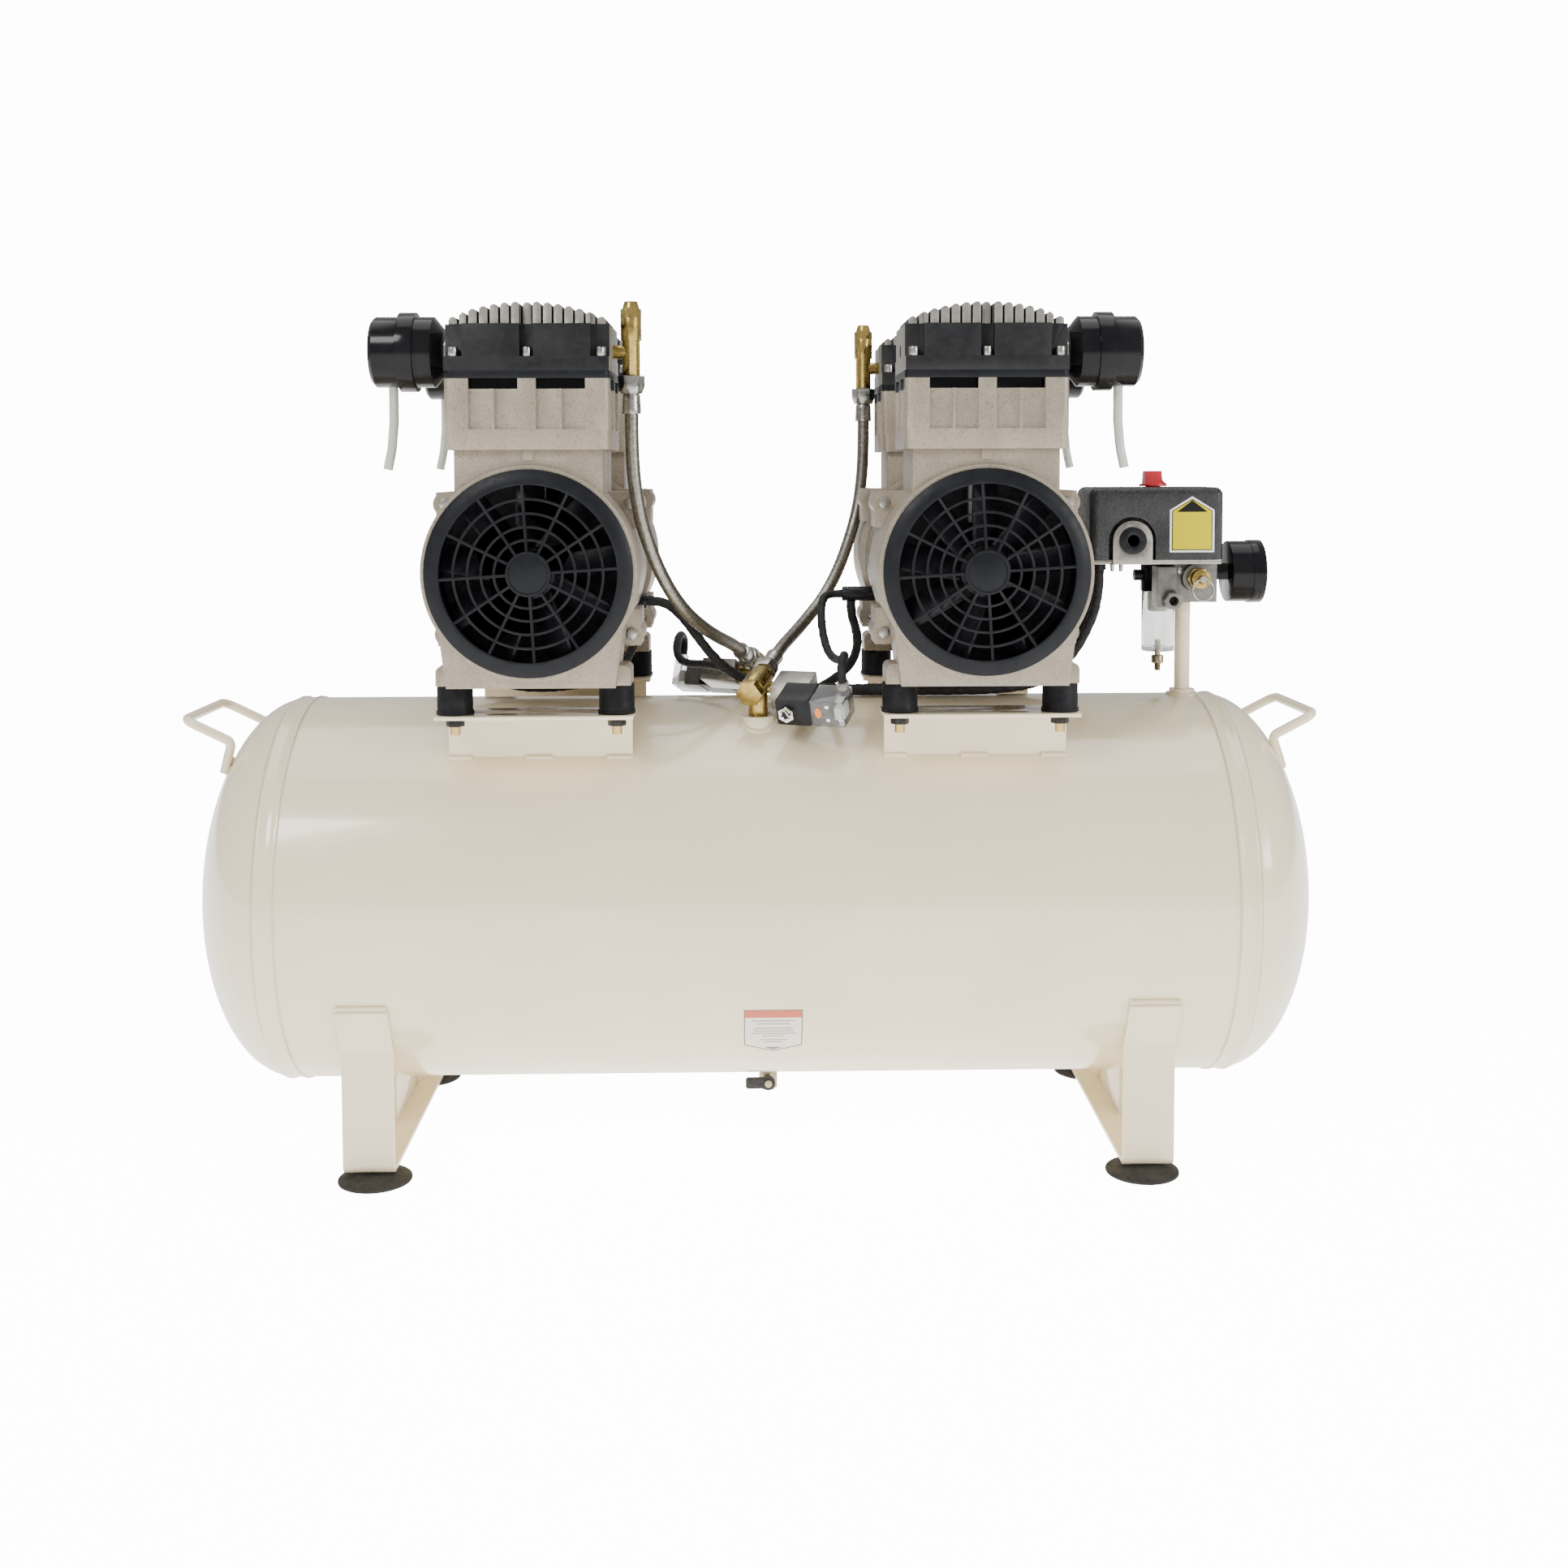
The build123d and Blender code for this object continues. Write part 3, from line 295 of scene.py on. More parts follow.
@dataclass(frozen=True)
class TankEnamel(Finish):
    """Sprayed gloss enamel with orange peel, a few dust specks and painted shade lines along the weld ridges.
    """

    def colours(self, graph: Graph) -> object:
        """Cream, a touch darker in patches, with tiny dust specks and painted shade along both weld ridges.
        """
        base = super().colours(graph)
        speck = graph.cells(0.021).ramp(0.02, 0.035, 0.55, 0.0) * graph.noise(0.05).ramp(0.5, 0.62)
        x, _, _ = graph.axes(graph.place)
        # painted shade: thin dark lines along both edges of the weld band, blended in the same dark tone as
        # the dust specks
        inner = abs(abs(x) - 0.3829).ramp(0.0002, 0.0013, 0.5, 0.0)
        outer = abs(abs(x) - 0.4000).ramp(0.0002, 0.0016, 0.6, 0.0)
        return self.label(graph, graph.blend(speck.most(inner).most(outer), base, (0.42, 0.355, 0.235)))

    def label(self, graph: Graph, base: Value) -> Value:
        """Adds a plain label low on the front, pointed at its foot, with rows of grey and no words.

        Args:
            graph: the material being built.
            base: colour of the enamel round it.

        Returns:
            The colour with the label on it.
        """
        x, y, up = graph.axes(graph.place)
        z = up + 0.0055
        across = abs(x - 0.0108)
        foot = z - across * 0.297
        front = y.ramp(-0.02, -0.01, 1.0, 0.0)
        edge = across.ramp(0.0236, 0.0238, 1.0, 0.0) * z.ramp(0.1500, 0.1502, 1.0, 0.0)
        edge = edge * foot.ramp(0.1060, 0.1062)
        field = across.ramp(0.0227, 0.0230, 1.0, 0.0) * z.ramp(0.1490, 0.1493, 1.0, 0.0)
        field = field * foot.ramp(0.1072, 0.1075)
        arrow = (z - across * 0.42).ramp(0.1078, 0.1081) * z.ramp(0.1112, 0.1115, 1.0, 0.0)
        colour = graph.blend(edge * front, base, (0.03, 0.027, 0.032))
        colour = graph.blend(field * front, colour, (0.72, 0.68, 0.58))
        colour = graph.blend(field * front * z.ramp(0.1422, 0.1424), colour, (0.52, 0.062, 0.006))
        rows = arrow
        for height, half in ((0.1393, 0.0172), (0.1362, 0.0130), (0.1317, 0.0158), (0.1290, 0.0162),
                             (0.1263, 0.0178), (0.1236, 0.0085), (0.1196, 0.0115), (0.1172, 0.0075)):
            row = abs(z - height).ramp(0.0006, 0.0009, 0.8, 0.0) * across.ramp(half, half + 0.0004, 1.0, 0.0)
            rows = rows.most(row)
        dashes = (x * 3100.0).wave().ramp(-0.7, -0.2, 0.25, 1.0).most(arrow)
        return graph.blend(rows * dashes * field * front, colour, (0.04, 0.035, 0.045))

    def height(self, graph: Graph) -> Value:
        """Orange peel over slow waves of the rolled plate."""
        return graph.noise(0.0022, 1.0) * 0.25 + graph.noise(0.045, 1.0)


@dataclass(frozen=True)
class CastSilver(Finish):
    """Silver lacquer over a sand casting, with painted shade deep inside the windows and inside the fan
    housings.
    """

    def colours(self, graph: Graph) -> object:
        """Silver with darker pores, and painted shade in the windows and the fan housings."""
        x, y, z = graph.axes(graph.place)
        pores = graph.noise(0.0016, 4.0).ramp(0.28, 0.5, 0.65, 0.0)
        base = graph.blend(pores, super().colours(graph), (0.15, 0.13, 0.10))
        # painted shade: near black deep inside the cylinder windows
        inside = abs(abs(y) - CYLINDER_Y).ramp(0.0455, 0.0465, 1.0, 0.0) * z.ramp(0.6395, 0.6402)
        # painted shade: near black inside each fan housing, behind the bell face
        across, up = abs(x) - PUMP_X, z - FAN_AXIS_Z
        housing_shade = (across * across + up * up).ramp(0.0062, 0.0063, 1.0, 0.0)
        housing_shade = housing_shade * abs(y).ramp(BELL_FACE_Y - 0.0007, BELL_FACE_Y - 0.0003, 1.0, 0.0)
        return graph.blend(inside.most(housing_shade), base, (0.008, 0.008, 0.011))


@dataclass(frozen=True)
class HeadCasting(Finish):
    """Black casting whose fin crests and machined end faces are bare."""

    def bare(self, graph: Graph) -> Value:
        """1 where the metal is bare."""
        x, _, z = graph.axes(graph.place)
        nx, _, _ = graph.axes(graph.facing)
        crest = z.ramp(HEAD_SIDE_Z - 0.0001, HEAD_SIDE_Z + 0.0005) * abs(nx).ramp(0.7, 0.9, 1.0, 0.0)
        end = abs(nx).ramp(0.85, 0.95) * abs(abs(x) - PUMP_X).ramp(0.0615, 0.0625)
        end = end * z.ramp(HEAD_SIDE_Z - 0.0005, HEAD_SIDE_Z + 0.0005, 1.0, 0.0)
        worn = graph.noise(0.004, 4.0).ramp(0.25, 0.6, 0.75, 1.0)
        return crest.most(end) * worn

    def colours(self, graph: Graph) -> object:
        """Black or bare aluminium."""
        return graph.blend(self.bare(graph), super().colours(graph), (0.27, 0.255, 0.225))

    def extra(self, graph: Graph) -> None:
        """The bare metal is metallic."""
        graph.set(Metallic=self.bare(graph) * 0.7)


@dataclass(frozen=True)
class Drum(Finish):
    """Polished motor drum with fine turning marks and dark seams by the castings."""

    def colours(self, graph: Graph) -> object:
        """Bright steel with dark seams round the drum."""
        _, y, _ = graph.axes(graph.place)
        seam = abs(abs(y) - 0.0505).ramp(0.0012, 0.0022, 1.0, 0.0)
        seam = seam.most(abs(abs(y) - 0.004).ramp(0.0006, 0.0012, 0.9, 0.0))
        return graph.blend(seam, super().colours(graph), (0.02, 0.02, 0.02))

    def height(self, graph: Graph) -> Value:
        """Lines round the drum."""
        return graph.noise(0.001, 2.0, (0.05, 1.0, 0.05))


@dataclass(frozen=True)
class StudNut(Finish):
    """Blackened nuts on studs whose free ends are yellow-plated."""

    def gilt(self, graph: Graph) -> Value:
        """1 on the stud ends below the nuts."""
        _, _, z = graph.axes(graph.place)
        return z.ramp(STUD_END_Z - 0.0004, STUD_END_Z, 1.0, 0.0)

    def colours(self, graph: Graph) -> object:
        """Black, or yellow plate."""
        return graph.blend(self.gilt(graph), super().colours(graph), (0.5, 0.36, 0.14))

    def extra(self, graph: Graph) -> None:
        """The plated ends are metallic."""
        graph.set(Metallic=self.gilt(graph) * 0.7 + 0.3)


@dataclass(frozen=True)
class Silencer(Finish):
    """Gloss black canister with a plated hexagon nipple next to the head."""

    def nipple(self, graph: Graph) -> Value:
        """1 on the nipple."""
        x, y, z = graph.axes(graph.place)
        across, up = abs(y) - CYLINDER_Y, z - PORT_Z
        near = (across * across + up * up).ramp(0.000116, 0.00012, 1.0, 0.0)
        return near * abs(x).ramp(0.2499, 0.2502, 1.0, 0.0)

    def colours(self, graph: Graph) -> object:
        """Black, or zinc."""
        return graph.blend(self.nipple(graph), super().colours(graph), (0.45, 0.44, 0.41))

    def extra(self, graph: Graph) -> None:
        """The nipple is metallic."""
        graph.set(Metallic=self.nipple(graph) * 0.9)


@dataclass(frozen=True)
class Speckled(Finish):
    """Moulding with a coarse leather-like texture."""

    def height(self, graph: Graph) -> Value:
        """Coarse grains with flat valleys."""
        return graph.cells(self.grain).ramp(0.15, 0.6, 1.0, 0.0) + graph.noise(self.grain * 2, 2.0) * 0.6


@dataclass(frozen=True)
class Clear(Finish):
    """Clear plastic or glass with faint haze."""

    see: float = 0.9
    ior: float = 1.45

    def extra(self, graph: Graph) -> None:
        """Lets light through."""
        graph.set(Transmission_Weight=self.see, IOR=self.ior)


@dataclass(frozen=True)
class Sleeve(Finish):
    """Woven sleeve over a lead: a fine criss-cross and slow wrinkles, on the piece's own UV map."""

    def height(self, graph: Graph) -> Value:
        """Threads that cross, over wrinkles."""
        uv = graph.node("ShaderNodeUVMap", {"uv_map": "UVMap"}, {})
        u, v, _ = graph.axes(uv)
        threads = (u * 2600.0 + v * 75.4).wave() * (u * 2600.0 - v * 75.4).wave()
        return threads * 0.4 + graph.noise(0.009, 2.0) * 2.0


CREAM = TankEnamel("cream_enamel", (0.80, 0.685, 0.475), (0.77, 0.65, 0.44), 0.22, 0.08, patch=0.12,
                   relief=0.00010, coat=0.7, slot="cream_paint")
SILVER = CastSilver("cast_silver", (0.31, 0.26, 0.195), (0.27, 0.225, 0.168), 0.44, 0.12, 0.4, patch=0.02,
                    grain=0.0009, relief=0.00012, slot="cast_silver")
HEAD = HeadCasting("head_casting", (0.006, 0.006, 0.007), (0.011, 0.011, 0.012), 0.42, 0.14, patch=0.015,
                   grain=0.0009, relief=0.00010, specular=0.25, slot="head_black")
DRUM = Drum("motor_drum", (0.27, 0.25, 0.215), (0.22, 0.205, 0.178), 0.24, 0.08, 1.0, relief=0.00002,
            slot="rotor_steel")
ZINC = Finish("zinc_plate", (0.42, 0.41, 0.375), (0.32, 0.31, 0.283), 0.28, 0.16, 1.0, patch=0.004,
              grain=0.0008, relief=0.00002, slot="zinc_steel")
STEEL = Finish("sheet_steel", (0.30, 0.28, 0.245), (0.25, 0.233, 0.205), 0.34, 0.12, 1.0, patch=0.006,
               grain=0.0009, relief=0.00002, slot="zinc_steel")
CHROME = Finish("bright_plate", (0.72, 0.70, 0.66), (0.6, 0.59, 0.55), 0.16, 0.08, 1.0, patch=0.004,
                grain=0.0008, relief=0.00001, slot="zinc_steel")
NUTS = StudNut("black_nut", (0.012, 0.012, 0.011), (0.022, 0.021, 0.018), 0.36, 0.1, 0.3, patch=0.006,
               relief=0.00003, specular=0.3, slot="zinc_steel")
BRASS = Finish("brass", (0.43, 0.315, 0.095), (0.32, 0.23, 0.07), 0.27, 0.16, 1.0, patch=0.007,
               grain=0.0011, relief=0.00004, slot="brass")
DULL_BRASS = Finish("dull_brass", (0.42, 0.36, 0.24), (0.32, 0.27, 0.17), 0.32, 0.16, 1.0, patch=0.004,
                    grain=0.0009, relief=0.00003, slot="brass")
RUBBER = Finish("rubber", (0.006, 0.006, 0.0075), (0.011, 0.011, 0.013), 0.55, 0.16, patch=0.01,
                grain=0.0012, relief=0.00005, specular=0.15, slot="rubber")
PAD = Finish("pad_rubber", (0.017, 0.0165, 0.016), (0.028, 0.027, 0.025), 0.7, 0.14, patch=0.012,
             grain=0.0015, relief=0.00008, specular=0.3, slot="rubber")
GUARD = Finish("guard_plastic", (0.004, 0.0044, 0.006), (0.007, 0.0075, 0.0095), 0.42, 0.1, patch=0.02,
               grain=0.0007, relief=0.00003, specular=0.18, slot="moulded_black")
COIL = Finish("coil_plastic", (0.005, 0.005, 0.0065), (0.009, 0.009, 0.011), 0.34, 0.1, patch=0.008,
              grain=0.0006, relief=0.00002, specular=0.2, slot="moulded_black")
CANISTER = Silencer("canister_enamel", (0.003, 0.003, 0.004), (0.006, 0.006, 0.007), 0.17, 0.04, patch=0.02,
                    grain=0.006, relief=0.000004, coat=0.04, specular=0.16, slot="gloss_black")
GLOSS = Finish("gloss_enamel", (0.003, 0.003, 0.004), (0.006, 0.006, 0.007), 0.17, 0.04, patch=0.02,
               grain=0.006, relief=0.000004, coat=0.04, specular=0.16, slot="gloss_black")
ALLOY = Finish("bare_alloy", (0.46, 0.44, 0.395), (0.39, 0.37, 0.335), 0.33, 0.12, 0.9, patch=0.006,
               grain=0.001, relief=0.00003, slot="bare_aluminium")
DIECAST = Finish("diecast", (0.175, 0.17, 0.152), (0.13, 0.127, 0.113), 0.42, 0.14, 0.65, patch=0.007,
                 grain=0.0009, relief=0.00008, slot="diecast_grey")
CLEAR = Clear("clear_moulding", (0.93, 0.94, 0.92), (0.88, 0.90, 0.88), 0.07, 0.05, patch=0.01, grain=0.004,
              relief=0.00002, slot="clear_plastic", see=0.94)
TUBE_CLEAR = Clear("tube_moulding", (0.88, 0.89, 0.83), (0.82, 0.83, 0.77), 0.14, 0.05, patch=0.01,
                   grain=0.006, relief=0.00001, slot="clear_plastic", see=0.6)
LENS = Clear("lens", (0.96, 0.97, 0.97), (0.93, 0.95, 0.95), 0.04, 0.03, relief=0.00001, slot="lens_clear",
             see=0.97)
COVER = Speckled("cover_moulding", (0.010, 0.010, 0.011), (0.017, 0.017, 0.019), 0.36, 0.12, patch=0.015,
                 grain=0.0013, relief=0.00022, specular=0.4, slot="textured_black")
RED = Finish("red_moulding", (0.66, 0.022, 0.035), (0.56, 0.016, 0.026), 0.3, 0.1, patch=0.01, grain=0.001,
             relief=0.00002, coat=0.2, slot="red_plastic")
ENAMEL_BLACK = Finish("black_enamel", (0.008, 0.008, 0.008), (0.014, 0.014, 0.014), 0.3, 0.12, patch=0.006,
                      relief=0.00003, specular=0.35, slot="black_enamel")
BRAID = Finish("steel_braid", (0.30, 0.283, 0.245), (0.20, 0.19, 0.165), 0.34, 0.14, 1.0, patch=0.003,
               grain=0.0005, relief=0.00004, slot="braid")
HOSE_CORE = Finish("hose_core", (0.05, 0.047, 0.041), (0.03, 0.028, 0.025), 0.5, 0.1, 0.5, patch=0.003,
                   relief=0.00003, slot="braid")
SLEEVE = Sleeve("lead_sleeve", (0.007, 0.007, 0.008), (0.014, 0.014, 0.015), 0.55, 0.16, patch=0.008,
                relief=0.00035, specular=0.3, slot="lead_sleeve")
PISTON = Finish("piston_alloy", (0.6, 0.6, 0.58), (0.5, 0.5, 0.48), 0.4, 0.1, 0.9, slot="bare_aluminium")
PAPER = Finish("label_paper", (0.84, 0.84, 0.82), (0.80, 0.80, 0.78), 0.35, 0.08, relief=0.00001)
INK = Finish("label_ink", (0.006, 0.006, 0.006), (0.010, 0.010, 0.009), 0.4, 0.08, relief=0.00001,
             specular=0.15)
YELLOW = Finish("label_yellow", (0.56, 0.47, 0.0), (0.53, 0.445, 0.0), 0.4, 0.08, relief=0.00001,
                specular=0.12)
ORANGE = Finish("label_orange", (0.86, 0.22, 0.02), (0.80, 0.19, 0.015), 0.4, 0.08, relief=0.00001)
INSERT = Finish("plug_insert", (0.055, 0.057, 0.062), (0.08, 0.082, 0.086), 0.45, 0.1, patch=0.006)
WHITE_PART = Finish("white_moulding", (0.78, 0.78, 0.75), (0.72, 0.72, 0.69), 0.45, 0.1, patch=0.006)


# ---------------------------------------------------------------- bench work
class Bench:
    """Operators on one piece at a time, as at a modelling bench."""

    @staticmethod
    def clear() -> None:
        """Deselects everything."""
        if bpy.context.object is not None and bpy.context.object.mode != "OBJECT":
            bpy.ops.object.mode_set(mode="OBJECT")
        bpy.ops.object.select_all(action="DESELECT")

    @classmethod
    def take(cls, piece: bpy.types.Object) -> None:
        """Selects one piece and makes it active."""
        cls.clear()
        piece.select_set(True)
        bpy.context.view_layer.objects.active = piece

    @classmethod
    def edit(cls, piece: bpy.types.Object, mode: str = "VERT") -> None:
        """Opens a piece in edit mode with all of it selected."""
        cls.take(piece)
        bpy.ops.object.mode_set(mode="EDIT")
        bpy.ops.mesh.select_mode(type=mode)
        bpy.ops.mesh.select_all(action="SELECT")

    @staticmethod
    def close() -> None:
        """Leaves edit mode."""
        bpy.ops.object.mode_set(mode="OBJECT")

    @classmethod
    def named(cls, name: str) -> bpy.types.Object:
        """Names the active piece and puts its place into its mesh."""
        piece = bpy.context.object
        piece.name = name
        piece.data.name = name
        cls.take(piece)
        bpy.ops.object.transform_apply(location=True, rotation=True, scale=True)
        return piece

    @classmethod
    def modify(cls, piece: bpy.types.Object, kind: str, **settings: object) -> None:
        """Adds a modifier and applies it."""
        cls.take(piece)
        modifier = piece.modifiers.new(kind, kind)
        for key, value in settings.items():
            setattr(modifier, key, value)
        bpy.ops.object.modifier_apply(modifier=modifier.name)

    @classmethod
    def soften(cls, piece: bpy.types.Object, width: float, segments: int = 2, angle: float = 30.0) -> None:
        """Rounds the edges sharper than angle degrees by width metres."""
        if width > 0:
            cls.modify(piece, "BEVEL", width=width, segments=segments, limit_method="ANGLE",
                       angle_limit=math.radians(angle), use_clamp_overlap=True, miter_outer="MITER_ARC")

    @classmethod
    def smooth(cls, piece: bpy.types.Object, angle: float = 35.0) -> None:
        """Shades smooth across edges flatter than angle degrees."""
        cls.take(piece)
        bpy.ops.object.shade_smooth_by_angle(angle=math.radians(angle))

    @classmethod
    def chain(cls, points: Sequence[Vector]) -> bpy.types.Object:
        """A chain of edges through points, left open in edit mode."""
        cls.clear()
        bpy.ops.mesh.primitive_plane_add(size=MM)
        piece = bpy.context.object
        cls.edit(piece)
        bpy.ops.mesh.merge(type="CENTER")
        bpy.ops.transform.translate(value=points[0])
        for before, after in zip(points, points[1:]):
            bpy.ops.mesh.extrude_region_move(TRANSFORM_OT_translate={"value": after - before})
        bpy.ops.mesh.select_all(action="SELECT")
        return piece

    @classmethod
    def turned(cls, name: str, profile: Sequence[tuple[float, float]], way: Way, at: Point,
               steps: int = 48) -> bpy.types.Object:
        """Spins a profile round a line.

        Args:
            name: the piece's name.
            profile: pairs of distance along the line and radius, in metres.
            way: direction of the line.
            at: point that distances are counted from.
            steps: faces round the piece.

        Returns:
            The closed, smooth piece.
        """
        points = [Vector(at) + way.along * along + way.side * radius for along, radius in profile]
        cls.chain(points)
        bpy.ops.mesh.spin(steps=steps, angle=math.tau, center=at, axis=way.value)
        bpy.ops.mesh.select_all(action="SELECT")
        bpy.ops.mesh.remove_doubles(threshold=1e-6)
        bpy.ops.mesh.normals_make_consistent(inside=False)
        cls.close()
        piece = cls.named(name)
        cls.smooth(piece)
        return piece

    @classmethod
    def plate(cls, name: str, outline: Sequence[Point], depth: Vector) -> bpy.types.Object:
        """A plate from its outline, in metres, pulled out along depth."""
        cls.chain([Vector(point) for point in outline])
        bpy.ops.mesh.edge_face_add()
        bpy.ops.mesh.extrude_region_move(TRANSFORM_OT_translate={"value": depth})
        bpy.ops.mesh.select_all(action="SELECT")
        bpy.ops.mesh.normals_make_consistent(inside=False)
        cls.close()
        piece = cls.named(name)
        cls.smooth(piece)
        return piece

    @classmethod
    def block(cls, name: str, low: Point, high: Point, bevel: float) -> bpy.types.Object:
        """A block between two corners with rounded edges."""
        cls.clear()
        low, high = Vector(low), Vector(high)
        bpy.ops.mesh.primitive_cube_add(size=1, location=(low + high) / 2, scale=high - low)
        piece = cls.named(name)
        cls.soften(piece, bevel, 3)
        cls.smooth(piece)
        return piece

    @classmethod
    def nut(cls, name: str, at: Point, way: Way, flats: float, height: float,
            bore: float) -> bpy.types.Object:
        """A hexagon with rounded corners and a round recess in its far face.

        Args:
            name: the piece's name.
            at: middle of the near face.
            way: direction from the near face to the far one.
            flats: width across the flats.
            height: distance between the faces.
            bore: radius of the recess.

        Returns:
            The nut.
        """
        cls.clear()
        radius = flats / 2 / math.cos(math.pi / 6)
        bpy.ops.mesh.primitive_cylinder_add(vertices=6, radius=radius, depth=height,
                                            location=(0, 0, height / 2))
        piece = cls.named(name)
        cls.edit(piece, "FACE")
        bpy.ops.mesh.select_all(action="DESELECT")
        cls.close()
        for face in piece.data.polygons:
            face.select = face.normal.z > 0.9
        bpy.ops.object.mode_set(mode="EDIT")
        bpy.ops.mesh.inset(thickness=radius * 0.9 - bore)
        bpy.ops.mesh.subdivide(number_cuts=2)
        cls.close()
        for vertex in piece.data.vertices:
            if vertex.select and vertex.co.z > height * 0.9:
                flat = Vector((vertex.co.x, vertex.co.y))
                if flat.length > bore * 0.75:
                    vertex.co.x, vertex.co.y = flat.normalized() * bore
                vertex.co.z -= height * 0.35 if flat.length < bore * 1.01 else 0.0
        cls.soften(piece, flats * 0.035, 2)
        cls.smooth(piece)
        turn = Vector((0, 0, 1)).rotation_difference(way.along).to_matrix().to_4x4()
        piece.data.transform(Matrix.Translation(Vector(at)) @ turn)
        return piece

    @classmethod
    def bead(cls, name: str, points: Sequence[Point], radius: float) -> bpy.types.Object:
        """A lumpy run of weld through points given in metres."""
        cls.clear()
        data = bpy.data.curves.new(name, "CURVE")
        data.dimensions, data.bevel_depth, data.bevel_resolution = "3D", radius, 3
        data.use_fill_caps = True
        spline = data.splines.new("POLY")
        spline.points.add(len(points) - 1)
        for i, point in enumerate(points):
            spline.points[i].co = (*point, 1.0)
            spline.points[i].radius = 0.9 + 0.22 * math.sin(i * 1.9) * math.sin(i * 0.63 + 1.0)
        run = bpy.data.objects.new(name, data)
        bpy.context.scene.collection.objects.link(run)
        cls.take(run)
        bpy.ops.object.convert(target="MESH")
        run = cls.named(name)
        cls.smooth(run, 70)
        return run

    @classmethod
    def joined(cls, name: str, pieces: Sequence[bpy.types.Object]) -> bpy.types.Object:
        """Joins pieces into one."""
        cls.clear()
        for piece in pieces:
            piece.select_set(True)
        bpy.context.view_layer.objects.active = pieces[0]
        bpy.ops.object.join()
        return cls.named(name)

    @classmethod
    def copy(cls, piece: bpy.types.Object, name: str, matrix: Matrix) -> bpy.types.Object:
        """A copy with its own mesh, moved by a matrix."""
        twin = piece.copy()
        twin.data = piece.data.copy()
        twin.name = twin.data.name = name
        bpy.context.scene.collection.objects.link(twin)
        twin.data.transform(matrix)
        return twin

    @staticmethod
    def paint(piece: bpy.types.Object, finish: Finish) -> None:
        """Gives a finish to all faces."""
        piece.data.materials.clear()
        piece.data.materials.append(finish.make())


def settle(piece: bpy.types.Object, body: Body, finish: Finish, *nodes: str) -> None:
    """Paints a piece, puts it on its body and hides the nodes that it replaces.

    Args:
        piece: the finished mesh.
        body: the body it rides on.
        finish: its finish.
        nodes: the nodes that it replaces.
    """
    Bench.paint(piece, finish)
    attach(piece, body.value)
    if nodes:
        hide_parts(*nodes)
    LOG.info("%s: %d faces on %s", piece.name, len(piece.data.polygons), body.value)


def softened(node: str, width: float, segments: int = 2) -> bpy.types.Object:
    """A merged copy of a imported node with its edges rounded.

    Args:
        node: the node's name.
        width: how far the rounding reaches from an edge, in metres.
        segments: faces across the rounding.

    Returns:
        The new piece, named after its node.
    """
    source = frame["nodes"][node]
    piece = source.copy()
    piece.data = source.data.copy()
    piece.name = piece.data.name = f"{node}_shape"
    bpy.context.scene.collection.objects.link(piece)
    piece.parent = None
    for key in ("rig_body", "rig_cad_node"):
        del piece[key]
    piece.data.materials.clear()
    Bench.edit(piece)
    bpy.ops.mesh.customdata_custom_splitnormals_clear()
    bpy.ops.mesh.remove_doubles(threshold=2e-6)
    bpy.ops.mesh.dissolve_limited(angle_limit=math.radians(0.5))
    Bench.close()
    Bench.soften(piece, width, segments, 32.0)
    Bench.smooth(piece)
    return piece


